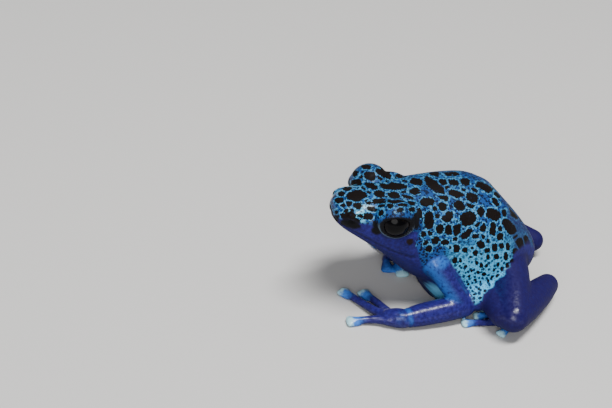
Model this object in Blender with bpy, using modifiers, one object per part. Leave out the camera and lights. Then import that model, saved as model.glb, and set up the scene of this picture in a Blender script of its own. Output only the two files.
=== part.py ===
"""Blue poison dart frog, life size, sitting low on a level floor with its head raised.

Frame: metres, +Z up, the snout points along -Y, the frog's left side is +X and the floor is Z = 0.
The tables are in millimetres, and the finished frog is moved by MIDDLE to stand over the origin.
Trunk and head are fused from a loft and rounded masses and parted at the neck. Limb lengths are
rounded tubes that meet in the plane of each joint's fold, and hands and feet are fused whole and
parted at the knuckles.
"""

import math
from collections import namedtuple

import bmesh
import bpy
from mathutils import Matrix, Vector

MM = 0.001
MIDDLE = (0.1, 0.8)  # x and y of the middle of the frog's extent in the tables below
GAP = 0.3  # free space between two nodes that meet
ROOM = 0.34  # the same, where one of the two is a smooth form drawn with flat faces

Section = namedtuple("Section", "y top bottom half_width widest")
Mass = namedtuple("Mass", "centre radii along", defaults=((0.0, -1.0, 0.0),))
Arm = namedtuple("Arm", "side shoulder elbow wrist palm fingers")
Leg = namedtuple("Leg", "side hip knee heel ankle sole toes")
Digit = namedtuple("Digit", "name root knuckle tip")


def mirrored_digits(digits, inward, backward):
    """The digits of the frog's other side, moved towards its middle and its rear."""
    made = []
    for digit in digits:
        points = [(inward - x, y + backward, z) for x, y, z in digit[1:]]
        made.append(Digit(digit.name, *points))
    return tuple(made)


# Trunk and head: height of the back, height of the belly, half width and the height where it is widest.
TRUNK = (
    Section(-19.6, 17.0, 16.2, 0.4, 16.6),
    Section(-19.2, 17.7, 14.9, 1.9, 16.3),
    Section(-18.0, 18.3, 13.7, 3.1, 16.0),
    Section(-16.0, 18.8, 12.4, 4.3, 15.1),
    Section(-13.0, 19.0, 10.4, 5.5, 13.6),
    Section(-10.0, 19.1, 7.8, 6.1, 12.6),
    Section(-7.0, 19.4, 5.1, 6.4, 11.4),
    Section(-4.0, 19.7, 3.0, 6.7, 9.8),
    Section(-1.0, 19.7, -1.0, 7.4, 7.6),
    Section(3.0, 19.2, -1.6, 8.2, 5.2),
    Section(6.5, 17.4, -1.4, 8.1, 5.2),
    Section(9.5, 14.5, -0.6, 7.0, 5.6),
    Section(12.5, 11.3, 1.2, 5.2, 5.9),
    Section(14.8, 8.4, 3.0, 3.4, 5.7),
    Section(16.2, 6.0, 5.0, 0.5, 5.5),
)
TRUNK_SQUARENESS = 2.3  # 2 is an ellipse, more is boxier
RING_SIDES = 40
RINGS_PER_SPAN = 4

EYE_CENTRE = (4.85, -11.8, 16.85)
EYE_RADIUS = 2.42
BROW = Mass((4.6, -11.75, 17.0), (3.0, 3.0, 3.0))
BROW_REAR = Mass((3.9, -8.9, 16.6), (2.3, 3.5, 2.2), (0.0, 1.0, -0.1))
EYE_FACING = (0.95, -0.22, 0.08)
EYE_OPENING = (2.35, 1.75)  # half length and half height of the opening between the lids
LID_RIM_OUT = 1.5  # how far the rim of the lids stands out from the eye's centre
LID_RIM_THICKNESS = 0.42
CHEEK = Mass((3.7, -9.9, 13.0), (2.6, 3.6, 2.9))
CANTHUS = Mass((2.3, -15.6, 16.9), (1.3, 2.9, 1.3), (0.28, -1.0, 0.0))
SACRUM = Mass((2.4, 5.4, 15.7), (2.2, 3.6, 1.7), (0.0, 1.0, -0.45))
SHOULDER_BLADE = Mass((3.7, -2.6, 15.4), (2.6, 4.4, 2.4))
RUMP = Mass((2.4, 10.2, 7.4), (2.7, 3.0, 3.0), (0.2, 1.0, -0.7))
GROIN = Mass((8.1, 4.2, 3.4), (2.3, 4.0, 2.3), (0.25, -1.0, -0.05))
BREAST = Mass((3.5, -2.6, 7.6), (2.6, 2.8, 3.4))
EAR = Mass((6.4, -9.55, 14.0), (0.35, 0.95, 0.95))
NOSTRIL = Mass((2.9, -18.1, 16.1), (0.45, 0.32, 0.32), (0.3, -1.0, 0.2))

NECK_Y = -6.6
MOUTH_TIP = 15.35  # height of the mouth line at the snout, and below its y and z along the side
MOUTH_LINE = ((-18.9, 15.2), (-17.8, 14.7), (-15.5, 13.7), (-12.5, 12.3), (-9.6, 11.1), (-7.9, 10.6))
LIP_GROOVE = 0.24

UPPER_ARM_RADII = (1.9, 1.75, 1.62, 1.72)
FOREARM_RADII = (1.7, 1.82, 1.72, 1.45)
THIGH_RADII = (2.5, 2.9, 2.85, 2.4)
SHANK_RADII = (2.35, 2.5, 2.3, 1.8)
TARSUS_RADII = (1.5, 1.25, 1.15, 1.15)
FINGER_RADII = (0.72, 0.58, 0.5)
TOE_RADII = (0.68, 0.54, 0.47)
FINGER_PAD = (1.05, 0.85, 0.5)  # half width, half length, half height
TOE_PAD = (0.75, 0.7, 0.45)
PAD_SINK = 0.14  # how far a pad's underside is flattened on the floor
PALM_RADII = (1.55, 1.8, 0.95)
SOLE_RADII = (1.35, 2.1, 0.8)

LEFT_ARM = Arm(
    side="left",
    shoulder=(6.0, -3.9, 8.7),
    elbow=(8.9, 0.6, 2.4),
    wrist=(8.9, -9.1, 1.5),
    palm=(7.7, -11.0, 1.1),
    fingers=(
        Digit("1", (7.1, -10.2, 0.9), (6.1, -9.6, 0.65), (5.5, -8.4, 0.42)),
        Digit("2", (6.4, -10.8, 1.0), (4.5, -11.0, 0.85), (0.6, -12.0, 0.5)),
        Digit("3", (6.6, -11.8, 1.0), (5.0, -12.7, 0.9), (-0.3, -15.0, 0.5)),
        Digit("4", (7.9, -11.9, 1.0), (7.4, -13.5, 0.85), (6.6, -16.8, 0.5)),
    ),
)
RIGHT_ARM = Arm(
    side="right",
    shoulder=(-6.0, -3.9, 8.7),
    elbow=(-9.4, 1.6, 2.6),
    wrist=(-9.4, -1.9, 1.6),
    palm=(-7.7, -3.4, 1.1),
    fingers=(
        Digit("1", (-7.0, -2.7, 0.9), (-5.9, -2.2, 0.7), (-4.6, -2.0, 0.45)),
        Digit("2", (-6.4, -3.6, 1.0), (-5.3, -3.8, 0.85), (-2.6, -4.0, 0.5)),
        Digit("3", (-6.9, -4.4, 1.0), (-6.2, -5.3, 0.9), (-4.1, -5.8, 0.55)),
        Digit("4", (-8.2, -4.0, 1.0), (-9.9, -4.8, 0.85), (-11.5, -4.8, 0.5)),
    ),
)
LEFT_LEG = Leg(
    side="left",
    hip=(3.3, 10.3, 6.4),
    knee=(14.5, 5.9, 3.8),
    heel=(7.0, 16.0, 2.6),
    ankle=(6.4, 11.7, 1.3),
    sole=(9.5, 9.0, 0.75),
    toes=(
        Digit("1", (8.6, 9.0, 0.7), (7.3, 8.3, 0.65), (6.6, 7.1, 0.45)),
        Digit("2", (9.2, 8.2, 0.7), (8.6, 6.8, 0.65), (7.9, 4.9, 0.45)),
        Digit("3", (9.7, 8.0, 0.7), (10.2, 6.2, 0.7), (9.3, 3.1, 0.45)),
        Digit("4", (10.3, 8.0, 0.7), (11.7, 5.9, 0.7), (10.6, 0.5, 0.45)),
        Digit("5", (10.7, 8.4, 0.7), (12.7, 7.3, 0.65), (14.0, 4.9, 0.45)),
    ),
)
RIGHT_SETBACK = 1.0  # the right foot lies this much further back than the left
RIGHT_LEG = Leg(
    side="right",
    hip=(-3.3, 10.3, 6.4),
    knee=(-14.3, 7.0, 3.8),
    heel=(-4.1, 19.3, 2.7),
    ankle=(-5.8, 12.9, 1.3),
    sole=(-9.3, 10.0, 0.75),
    toes=mirrored_digits(LEFT_LEG.toes, 0.2, RIGHT_SETBACK),
)

TRUNK_VOXEL = 0.42
DIGIT_VOXEL = 0.22
TRUNK_TRIANGLES = 2900
HAND_TRIANGLES = 900
FOOT_TRIANGLES = 1000
LIMB_SIDES = 12
LIMB_STATIONS = 7
MOUTH_STATIONS = 41
CAP_ANGLES = (80, 55, 28)
KNUCKLE_CUT = 0.85  # half the side of the plate that parts a digit


def clear_scene():
    """Remove whatever the file holds."""
    for obj in list(bpy.data.objects):
        bpy.data.objects.remove(obj)


def collection(name):
    """A new collection in the scene."""
    made = bpy.data.collections.new(name)
    bpy.context.scene.collection.children.link(made)
    return made


def material(name, colour, roughness):
    """A Principled BSDF material."""
    made = bpy.data.materials.new(name)
    made.use_nodes = True
    shader = made.node_tree.nodes["Principled BSDF"]
    shader.inputs["Base Color"].default_value = (*colour, 1.0)
    shader.inputs["Roughness"].default_value = roughness
    shader.inputs["Metallic"].default_value = 0.0
    return made


def object_of(mesh, name):
    """A new object for a mesh, linked to the scene."""
    made = bpy.data.objects.new(name, mesh)
    bpy.context.scene.collection.objects.link(made)
    return made


def mesh_of(form, name):
    """A mesh of a bmesh, which is freed."""
    mesh = bpy.data.meshes.new(name)
    form.to_mesh(mesh)
    form.free()
    return mesh


def mirrored(mass):
    """The same mass on the frog's other side."""
    (x, y, z), (across, ahead, upward) = mass.centre, mass.along
    return mass._replace(centre=(-x, y, z), along=(-across, ahead, upward))


def facing(along):
    """A rotation whose Y axis points along a direction and whose Z axis stays near up."""
    y_axis = Vector(along).normalized()
    upward = Vector((1.0, 0.0, 0.0)) if abs(y_axis.z) > 0.9 else Vector((0.0, 0.0, 1.0))
    x_axis = y_axis.cross(upward).normalized()
    z_axis = x_axis.cross(y_axis)
    return Matrix((x_axis, y_axis, z_axis)).transposed().to_4x4()


def placed(centre, along, radii, grow=0.0):
    """The transform that takes a unit form to a place, a direction and a size."""
    size = Matrix.Diagonal((*((radius + grow) * MM for radius in radii), 1.0))
    return Matrix.Translation(Vector(centre) * MM) @ facing(along) @ size


def ellipsoid(centre, radii, along=(0.0, -1.0, 0.0), grow=0.0, segments=16, rings=10):
    """A mesh of a rounded mass, whose second radius lies along a direction."""
    form = bmesh.new()
    bmesh.ops.create_uvsphere(form, u_segments=segments, v_segments=rings, radius=1.0)
    form.transform(placed(centre, along, radii, grow))
    return mesh_of(form, "mass")


def mass_mesh(mass, grow=0.0):
    return ellipsoid(mass.centre, mass.radii, mass.along, grow)


def catmull(before, start, end, after, share):
    """A value on the smooth curve from start to end."""
    square, cube = share * share, share * share * share
    return 0.5 * (
        2 * start
        + (end - before) * share
        + (2 * before - 5 * start + 4 * end - after) * square
        + (3 * start - before - 3 * end + after) * cube
    )


def smooth_value(values, share):
    """The value at a share of the way along a smooth curve through evenly spaced values."""
    padded = (values[0],) + tuple(values) + (values[-1],)
    place = share * (len(values) - 1)
    index = min(int(place), len(values) - 2)
    return catmull(*padded[index : index + 4], place - index)


def between(start, end, share):
    return tuple(a + (b - a) * share for a, b in zip(start, end))


def minus(end, start):
    return tuple(b - a for a, b in zip(start, end))


def swept(stations, name="limb"):
    """A closed mesh through stations, each a point and a radius, made as a bevelled curve."""
    curve = bpy.data.curves.new(name, "CURVE")
    curve.dimensions = "3D"
    curve.bevel_depth = MM
    curve.bevel_resolution = (LIMB_SIDES - 4) // 2
    curve.use_fill_caps = True
    spline = curve.splines.new("POLY")
    spline.points.add(len(stations) - 1)
    for point, (place, radius) in zip(spline.points, stations):
        point.co = (*(Vector(place) * MM), 1.0)
        point.radius = radius
    curve_object = object_of(curve, name)
    graph = bpy.context.evaluated_depsgraph_get()
    mesh = bpy.data.meshes.new_from_object(curve_object.evaluated_get(graph))
    bpy.data.objects.remove(curve_object)
    form = bmesh.new()
    form.from_mesh(mesh)
    bpy.data.meshes.remove(mesh)
    bmesh.ops.remove_doubles(form, verts=form.verts[:], dist=1e-6)
    bmesh.ops.triangulate(form, faces=form.faces[:])
    bmesh.ops.recalc_face_normals(form, faces=form.faces[:])
    return mesh_of(form, name)


def limb(start, end, radii, grow=0.0, stations=LIMB_STATIONS):
    """A straight limb length that swells and thins, with rounded ends past start and end."""
    along = (Vector(end) - Vector(start)).normalized()
    first, last = radii[0] + grow, radii[-1] + grow
    made = []
    for angle in CAP_ANGLES:
        turn = math.radians(angle)
        made.append((Vector(start) - along * first * math.sin(turn), first * math.cos(turn)))
    for step in range(stations):
        share = step / (stations - 1)
        made.append((Vector(between(start, end, share)), smooth_value(radii, share) + grow))
    for angle in reversed(CAP_ANGLES):
        turn = math.radians(angle)
        made.append((Vector(end) + along * last * math.sin(turn), last * math.cos(turn)))
    return swept(made)


def bent(points, radii, stations=9):
    """A limb that follows a smooth bend through its points, with rounded ends."""
    made = []
    for step in range(stations):
        share = step / (stations - 1)
        place = Vector([smooth_value(axis, share) for axis in zip(*points)])
        made.append((place, smooth_value(radii, share)))
    return joined([swept(made)] + [ellipsoid(place, (radius,) * 3) for place, radius in (made[0], made[-1])])


def joined(meshes):
    """One mesh that holds all the given ones, each still its own surface."""
    form = bmesh.new()
    for mesh in meshes:
        form.from_mesh(mesh)
        bpy.data.meshes.remove(mesh)
    return mesh_of(form, "joined")


def smooth_sections(sections):
    """The given sections with smooth ones between them."""
    padded = (sections[0],) + tuple(sections) + (sections[-1],)
    made = []
    for index in range(len(sections) - 1):
        around = padded[index : index + 4]
        for step in range(RINGS_PER_SPAN):
            share = step / RINGS_PER_SPAN
            made.append(Section(*(catmull(*values, share) for values in zip(*around))))
    made.append(sections[-1])
    return made


def trunk_ring(section):
    """The points round one section of the trunk, boxier than an ellipse."""
    points = []
    for side in range(RING_SIDES):
        angle = 2 * math.pi * side / RING_SIDES
        across, upward = math.cos(angle), math.sin(angle)
        reach = (abs(across) ** TRUNK_SQUARENESS + abs(upward) ** TRUNK_SQUARENESS) ** (-1 / TRUNK_SQUARENESS)
        height = section.top - section.widest if upward > 0 else section.widest - section.bottom
        points.append((section.half_width * across * reach, section.y, section.widest + height * upward * reach))
    return points


def trunk_mesh():
    """Trunk and head in one: a loft through the sections, closed at the snout and at the vent."""
    form = bmesh.new()
    rings = []
    for section in smooth_sections(TRUNK):
        rings.append([form.verts.new(Vector(point) * MM) for point in trunk_ring(section)])
    for near, far in zip(rings, rings[1:]):
        for side in range(RING_SIDES):
            after = (side + 1) % RING_SIDES
            form.faces.new((near[side], near[after], far[after], far[side]))
    form.faces.new(rings[0])
    form.faces.new(rings[-1])
    bmesh.ops.recalc_face_normals(form, faces=form.faces)
    return mesh_of(form, "trunk")


def applied(obj):
    """Take the object's modifiers into its mesh."""
    graph = bpy.context.evaluated_depsgraph_get()
    mesh = bpy.data.meshes.new_from_object(obj.evaluated_get(graph))
    obj.modifiers.clear()
    old = obj.data
    obj.data = mesh
    bpy.data.meshes.remove(old)


def fused(meshes, name, voxel, rounds, triangles):
    """One closed skin round the given meshes, smoothed, with about the given count of triangles."""
    obj = object_of(joined(meshes), name)
    remesh = obj.modifiers.new("Fuse", "REMESH")
    remesh.mode = "VOXEL"
    remesh.voxel_size = voxel * MM
    smooth = obj.modifiers.new("Smooth", "SMOOTH")
    smooth.factor = 0.5
    smooth.iterations = rounds
    applied(obj)
    thin = obj.modifiers.new("Thin", "DECIMATE")
    thin.ratio = min(1.0, triangles / (2 * len(obj.data.polygons)))
    applied(obj)
    return obj


def carve(obj, meshes, solver="MANIFOLD"):
    """Cut each of the given closed meshes out of the object.

    The fused skins hold narrow triangles that leave the EXACT solver's cuts open.
    """
    for mesh in meshes:
        cutter = object_of(mesh, "cutter")
        change = obj.modifiers.new("Carve", "BOOLEAN")
        change.operation = "DIFFERENCE"
        change.solver = solver
        change.object = cutter
        applied(obj)
        bpy.data.objects.remove(cutter)


def swollen(mesh):
    """A copy of a mesh whose skin stands out by the room that neighbours keep."""
    form = bmesh.new()
    form.from_mesh(mesh)
    form.normal_update()
    shifts = [vert.normal * ROOM * MM for vert in form.verts]
    for vert, shift in zip(form.verts, shifts):
        vert.co += shift
    return mesh_of(form, "swollen")


def trim(obj, point, normal):
    """Cut off all that lies past a plane, on the side its normal points to, and close the cut."""
    form = bmesh.new()
    form.from_mesh(obj.data)
    everything = form.verts[:] + form.edges[:] + form.faces[:]
    cut = bmesh.ops.bisect_plane(
        form, geom=everything, dist=1e-7, plane_co=Vector(point) * MM, plane_no=Vector(normal), clear_outer=True
    )
    rim = [edge for edge in cut["geom_cut"] if isinstance(edge, bmesh.types.BMEdge) and edge.is_boundary]
    bmesh.ops.holes_fill(form, edges=rim, sides=0)
    bmesh.ops.triangulate(form, faces=form.faces[:])
    form.to_mesh(obj.data)
    form.free()


def trim_floor(obj):
    trim(obj, (0.0, 0.0, 0.0), (0.0, 0.0, -1.0))


def trim_joint(obj, joint, normal):
    """End a length half a gap short of the plane through a joint, whose normal points out of it."""
    outward = Vector(normal).normalized()
    trim(obj, Vector(joint) - outward * GAP / 2, outward)


def fold_normal(before, joint, after):
    """The normal of a bent joint's fold, pointing from the length before it to the one after it."""
    toward_before = (Vector(before) - Vector(joint)).normalized()
    toward_after = (Vector(after) - Vector(joint)).normalized()
    return toward_after - toward_before


def plate(centre, normal, half_size):
    """A thin square plate, one gap thick, the cutter that parts a digit from its hand or foot."""
    form = bmesh.new()
    bmesh.ops.create_cube(form, size=2.0)
    form.transform(placed(centre, normal, (half_size, GAP / 2, half_size)))
    return mesh_of(form, "plate")


def shells_of(form):
    """The sets of vertex indices of a bmesh's separate surfaces."""
    seen, shells = set(), []
    for start in form.verts:
        if start.index in seen:
            continue
        seen.add(start.index)
        shell, front = set(), [start]
        while front:
            vert = front.pop()
            shell.add(vert.index)
            for edge in vert.link_edges:
                other = edge.other_vert(vert)
                if other.index not in seen:
                    seen.add(other.index)
                    front.append(other)
        shells.append(shell)
    return shells


def parted(obj, places):
    """The closed pieces that cutting left, as objects, each named by the place that is nearest to it."""
    form = bmesh.new()
    form.from_mesh(obj.data)
    form.verts.ensure_lookup_table()
    shells = shells_of(form)
    made = []
    for name, place in places.items():
        target = Vector(place) * MM
        keep = min(shells, key=lambda shell: min((form.verts[index].co - target).length for index in shell))
        piece = form.copy()
        bmesh.ops.delete(piece, geom=[vert for vert in piece.verts if vert.index not in keep], context="VERTS")
        made.append(object_of(mesh_of(piece, name), name))
    form.free()
    bpy.data.objects.remove(obj)
    return made


def pad_mesh(digit, size):
    """The wide flat disc at a digit's tip, pressed on the floor."""
    half_width, half_length, half_height = size
    x, y, _ = digit.tip
    along = (x - digit.knuckle[0], y - digit.knuckle[1], 0.0)
    return ellipsoid((x, y, half_height - PAD_SINK), (half_width, half_length, half_height), along)


def digits_of(digits, radii, pad):
    """Thin tubes that run from their roots over the knuckles to the pads."""
    meshes = []
    for digit in digits:
        meshes.append(bent((digit.root, digit.knuckle, digit.tip), radii))
        meshes.append(pad_mesh(digit, pad))
    return meshes


def part_digits(obj, name, centre, digits, kind, side):
    """Part the digits of a fused hand or foot at the knuckles."""
    places = {f"{name}_{side}": centre}
    for digit in digits:
        carve(obj, [plate(digit.knuckle, minus(digit.tip, digit.root), KNUCKLE_CUT)])
        places[f"{kind}_{digit.name}_{side}"] = digit.tip
    return parted(obj, places)


def arm_nodes(arm):
    """Upper arm, forearm, palm and four fingers."""
    elbow_fold = fold_normal(arm.shoulder, arm.elbow, arm.wrist)
    wrist_along = fold_normal(arm.elbow, arm.wrist, arm.palm)
    upper = object_of(limb(arm.shoulder, arm.elbow, UPPER_ARM_RADII), f"upper_arm_{arm.side}")
    trim_joint(upper, arm.elbow, elbow_fold)
    fore = object_of(limb(arm.elbow, arm.wrist, FOREARM_RADII), f"forearm_{arm.side}")
    trim_joint(fore, arm.elbow, -elbow_fold)
    trim_joint(fore, arm.wrist, wrist_along)
    meshes = [
        bent((arm.wrist, between(arm.wrist, arm.palm, 0.5), arm.palm), (FOREARM_RADII[-1], 1.3, 1.1)),
        ellipsoid(arm.palm, PALM_RADII, minus(arm.palm, arm.wrist)),
    ]
    meshes += digits_of(arm.fingers, FINGER_RADII, FINGER_PAD)
    hand = fused(meshes, "hand", DIGIT_VOXEL, 3, HAND_TRIANGLES)
    trim_joint(hand, arm.wrist, -wrist_along)
    nodes = [upper, fore] + part_digits(hand, "palm", arm.palm, arm.fingers, "finger", arm.side)
    for node in nodes:
        trim_floor(node)
    return nodes


def leg_nodes(leg):
    """Thigh, shank, tarsus, sole and five toes."""
    knee_fold = fold_normal(leg.hip, leg.knee, leg.heel)
    heel_fold = fold_normal(leg.knee, leg.heel, leg.ankle)
    ankle_along = fold_normal(leg.heel, leg.ankle, leg.sole)
    thigh = object_of(limb(leg.hip, leg.knee, THIGH_RADII), f"thigh_{leg.side}")
    trim_joint(thigh, leg.knee, knee_fold)
    shank = object_of(limb(leg.knee, leg.heel, SHANK_RADII), f"shank_{leg.side}")
    trim_joint(shank, leg.knee, -knee_fold)
    trim_joint(shank, leg.heel, heel_fold)
    tarsus = object_of(limb(leg.heel, leg.ankle, TARSUS_RADII), f"tarsus_{leg.side}")
    trim_joint(tarsus, leg.heel, -heel_fold)
    trim_joint(tarsus, leg.ankle, ankle_along)
    instep = bent((leg.ankle, between(leg.ankle, leg.sole, 0.5), leg.sole), (TARSUS_RADII[-1], 0.95, 0.75))
    meshes = [instep, ellipsoid(leg.sole, SOLE_RADII, minus(leg.sole, leg.ankle))]
    meshes += digits_of(leg.toes, TOE_RADII, TOE_PAD)
    foot = fused(meshes, "foot", DIGIT_VOXEL, 3, FOOT_TRIANGLES)
    room_for_foot = swollen(foot.data)
    trim_joint(foot, leg.ankle, -ankle_along)
    carve(foot, [limb(leg.hip, leg.knee, THIGH_RADII, ROOM), limb(leg.knee, leg.heel, SHANK_RADII, ROOM)])
    nodes = [thigh, shank, tarsus] + part_digits(foot, "sole", leg.sole, leg.toes, "toe", leg.side)
    for node in nodes:
        trim_floor(node)
    return nodes, room_for_foot


def eye_place(sign):
    """An eye's centre and the way it looks, on the side of the given sign."""
    (x, y, z), (across, ahead, upward) = EYE_CENTRE, EYE_FACING
    return Vector((sign * x, y, z)), Vector((sign * across, ahead, upward)).normalized()


def eye_node(sign, name):
    centre, look = eye_place(sign)
    return object_of(ellipsoid(centre, (EYE_RADIUS,) * 3, look, segments=20, rings=12), name)


def lid_rim(sign):
    """The thick rim round the opening between the lids."""
    centre, look = eye_place(sign)
    turn = facing(look).to_3x3()
    half_length, half_height = EYE_OPENING
    beads = []
    for step in range(32):
        angle = 2 * math.pi * step / 32
        across, upward = half_length * math.cos(angle), half_height * math.sin(angle)
        place = centre + turn @ Vector((across * 1.04, LID_RIM_OUT, upward * 1.06))
        beads.append(ellipsoid(place, (LID_RIM_THICKNESS,) * 3, segments=8, rings=6))
    return beads


def eye_cutters(sign):
    """The opening between the lids, and the socket that keeps its gap to the eye."""
    centre, look = eye_place(sign)
    half_length, half_height = EYE_OPENING
    form = bmesh.new()
    bmesh.ops.create_cone(form, cap_ends=True, segments=32, radius1=1.0, radius2=1.0, depth=2.0)
    size = Matrix.Diagonal((half_length * MM, 3 * MM, half_height * MM, 1.0))
    turn = Matrix.Rotation(math.radians(90), 4, "X")
    form.transform(Matrix.Translation((centre + look * 3.2) * MM) @ facing(look) @ size @ turn)
    return [mesh_of(form, "opening"), ellipsoid(centre, (EYE_RADIUS,) * 3, look, ROOM)]


def skin_at(skin, origin, direction):
    """Where a straight line meets an object's skin."""
    _, place, _, _ = skin.ray_cast(Vector(origin) * MM, Vector(direction))
    return tuple(place / MM)


def mouth_groove(skin):
    """A thin tube laid on the skin along the line of the mouth, from one corner round the snout to the other."""
    bpy.context.view_layer.update()
    left = [skin_at(skin, (20.0, y, z), (-1.0, 0.0, 0.0)) for y, z in MOUTH_LINE]
    right = [skin_at(skin, (-20.0, y, z), (1.0, 0.0, 0.0)) for y, z in reversed(MOUTH_LINE)]
    route = right + [skin_at(skin, (0.0, -30.0, MOUTH_TIP), (0.0, 1.0, 0.0))] + left
    stations = []
    for step in range(MOUTH_STATIONS):
        share = step / (MOUTH_STATIONS - 1)
        stations.append((Vector([smooth_value(axis, share) for axis in zip(*route)]), LIP_GROOVE))
    return swept(stations, "mouth")


def body_nodes(rooms):
    """Head and torso, parted at the neck, with sockets for the eyes and the limbs and room for the feet."""
    masses = (BROW, BROW_REAR, CHEEK, CANTHUS, SACRUM, SHOULDER_BLADE, RUMP, GROIN, BREAST, EAR)
    flesh = [trunk_mesh()]
    for mass in masses:
        flesh += [mass_mesh(mass), mass_mesh(mirrored(mass))]
    for sign in (1, -1):
        flesh += lid_rim(sign)
    whole = fused(flesh, "whole", TRUNK_VOXEL, 4, TRUNK_TRIANGLES)
    head = object_of(whole.data.copy(), "head")
    torso = object_of(whole.data.copy(), "torso")
    bpy.data.objects.remove(whole)
    neck = (0.0, NECK_Y, 0.0)
    trim_joint(head, neck, (0.0, 1.0, 0.0))
    trim_joint(torso, neck, (0.0, -1.0, 0.0))
    for sign in (1, -1):
        carve(head, eye_cutters(sign))
    carve(head, [mouth_groove(head), mass_mesh(NOSTRIL), mass_mesh(mirrored(NOSTRIL))])
    for arm in (LEFT_ARM, RIGHT_ARM):
        carve(torso, [limb(arm.shoulder, arm.elbow, UPPER_ARM_RADII, ROOM)])
    for leg in (LEFT_LEG, RIGHT_LEG):
        carve(torso, [limb(leg.hip, leg.knee, THIGH_RADII, ROOM)])
    carve(torso, rooms)
    trim_floor(torso)
    return [head, torso]


SKIN_BLUE = (0.02, 0.05, 0.42)
BACK_BLUE = (0.12, 0.5, 0.78)
EYE_BLACK = (0.008, 0.008, 0.01)


def main():
    clear_scene()
    parts = collection("blue_poison_dart_frog")
    nodes = [eye_node(1, "eye_left"), eye_node(-1, "eye_right")]
    for arm in (LEFT_ARM, RIGHT_ARM):
        nodes += arm_nodes(arm)
    rooms = []
    for leg in (LEFT_LEG, RIGHT_LEG):
        made, room = leg_nodes(leg)
        nodes += made
        rooms.append(room)
    nodes += body_nodes(rooms)
    for node in nodes:
        colour = EYE_BLACK if node.name.startswith("eye") else SKIN_BLUE
        if node.name in ("head", "torso"):
            colour = BACK_BLUE
        node.data.materials.clear()
        node.data.materials.append(material(node.name, colour, 0.3))
        node.data.transform(Matrix.Translation((-MIDDLE[0] * MM, -MIDDLE[1] * MM, 0.0)))
        node.data.shade_smooth()
        bpy.context.scene.collection.objects.unlink(node)
        parts.objects.link(node)


main()
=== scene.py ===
"""A blue poison dart frog, life size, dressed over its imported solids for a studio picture.

Every table of the frog is in millimetres in one frame: +Z up, the snout along -Y, the frog's left side
at +X and the floor at Z = 0. Forms are made there and moved by MIDDLE, as the solids are.
"""

import logging
import math
from dataclasses import dataclass, field, replace
from enum import Enum
from typing import Callable, ClassVar, NamedTuple, Sequence

import bpy
import numpy as np
from mathutils import Matrix, Vector
from mathutils.bvhtree import BVHTree


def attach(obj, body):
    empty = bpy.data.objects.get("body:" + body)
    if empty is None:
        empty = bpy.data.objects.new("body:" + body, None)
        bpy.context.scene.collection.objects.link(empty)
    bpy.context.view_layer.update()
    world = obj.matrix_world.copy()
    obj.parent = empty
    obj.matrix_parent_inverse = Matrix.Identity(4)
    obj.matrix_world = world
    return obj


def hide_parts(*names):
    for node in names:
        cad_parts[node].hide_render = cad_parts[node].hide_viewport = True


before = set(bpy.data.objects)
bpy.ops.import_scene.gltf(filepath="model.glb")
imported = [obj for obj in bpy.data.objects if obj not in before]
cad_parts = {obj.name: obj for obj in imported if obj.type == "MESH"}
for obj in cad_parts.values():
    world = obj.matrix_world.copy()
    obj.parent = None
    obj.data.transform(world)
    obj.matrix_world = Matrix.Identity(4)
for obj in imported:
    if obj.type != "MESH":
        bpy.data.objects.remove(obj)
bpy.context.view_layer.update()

LOG = logging.getLogger("frog")
MM = 0.001
MIDDLE = np.array((0.1, 0.8, 0.0))  # the middle of the frog's extent in the tables' frame
MIRROR = np.array((-1.0, 1.0, 1.0))  # turns a place on one side into the same place on the other
BODY = "root"

Triple = tuple[float, float, float]
Points = np.ndarray
Radii = tuple[float, ...]
Pairs = Sequence[tuple[float, float]]
Piece = bpy.types.Object
Socket = bpy.types.NodeSocket
Inputs = dict[str | int, object]


# Shared sums


def unit(vectors: Points) -> Points:
    """Vectors scaled to length 1, one or one for each row."""
    vectors = np.asarray(vectors, dtype=float)
    return vectors / np.maximum(np.linalg.norm(vectors, axis=-1, keepdims=True), 1e-9)


def ramp(values: Points, low: float, high: float) -> Points:
    """A smooth step of values from 0 at low to 1 at high, which may be the lower one."""
    share = np.clip((values - low) / (high - low), 0.0, 1.0)
    return share * share * (3.0 - 2.0 * share)


def smooth_path(knots: Sequence, shares: Points) -> Points:
    """Values on the smooth curve through evenly spaced knots.

    Args:
        knots: the numbers or points that the curve passes.
        shares: how far along to read it, from 0 to 1.

    Returns:
        One row for each share.
    """
    table = np.asarray(knots, dtype=float)
    table = table.reshape(len(table), -1)
    padded = np.vstack((table[:1], table, table[-1:]))
    place = np.clip(shares, 0.0, 1.0) * (len(table) - 1)
    index = np.minimum(place.astype(int), len(table) - 2)
    t = (place - index)[:, None]
    a, b, c, d = (padded[index + step] for step in range(4))
    return 0.5 * (2 * b + (c - a) * t + (2 * a - 5 * b + 4 * c - d) * t**2 + (3 * b - a - 3 * c + d) * t**3)


def ripple(points: Points, wavelength: float, seed: int) -> Points:
    """A smooth, irregular swell through space, made of crossed waves.

    Args:
        points: the places to read it at.
        wavelength: the rough size of its lumps, in millimetres.
        seed: which swell of the family.

    Returns:
        A number from about -1 to 1 for each point.
    """
    draw = np.random.default_rng(seed)
    total = np.zeros(len(points))
    for _ in range(6):
        way = unit(draw.normal(size=3)) * 2 * math.pi / (wavelength * draw.uniform(0.7, 1.5))
        total += np.sin(points @ way + draw.uniform(0, 2 * math.pi))
    return total / 3.0


def by_table(values: Points, table: Pairs) -> Points:
    """What a table of pairs gives for each value, straight between its rows."""
    return np.interp(values, *zip(*table))


def power_sum(first: Points, second: Points, power: float) -> Points:
    """The distance from the middle by which a superellipse of a power is drawn."""
    return (np.abs(first) ** power + np.abs(second) ** power) ** (1 / power)


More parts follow.
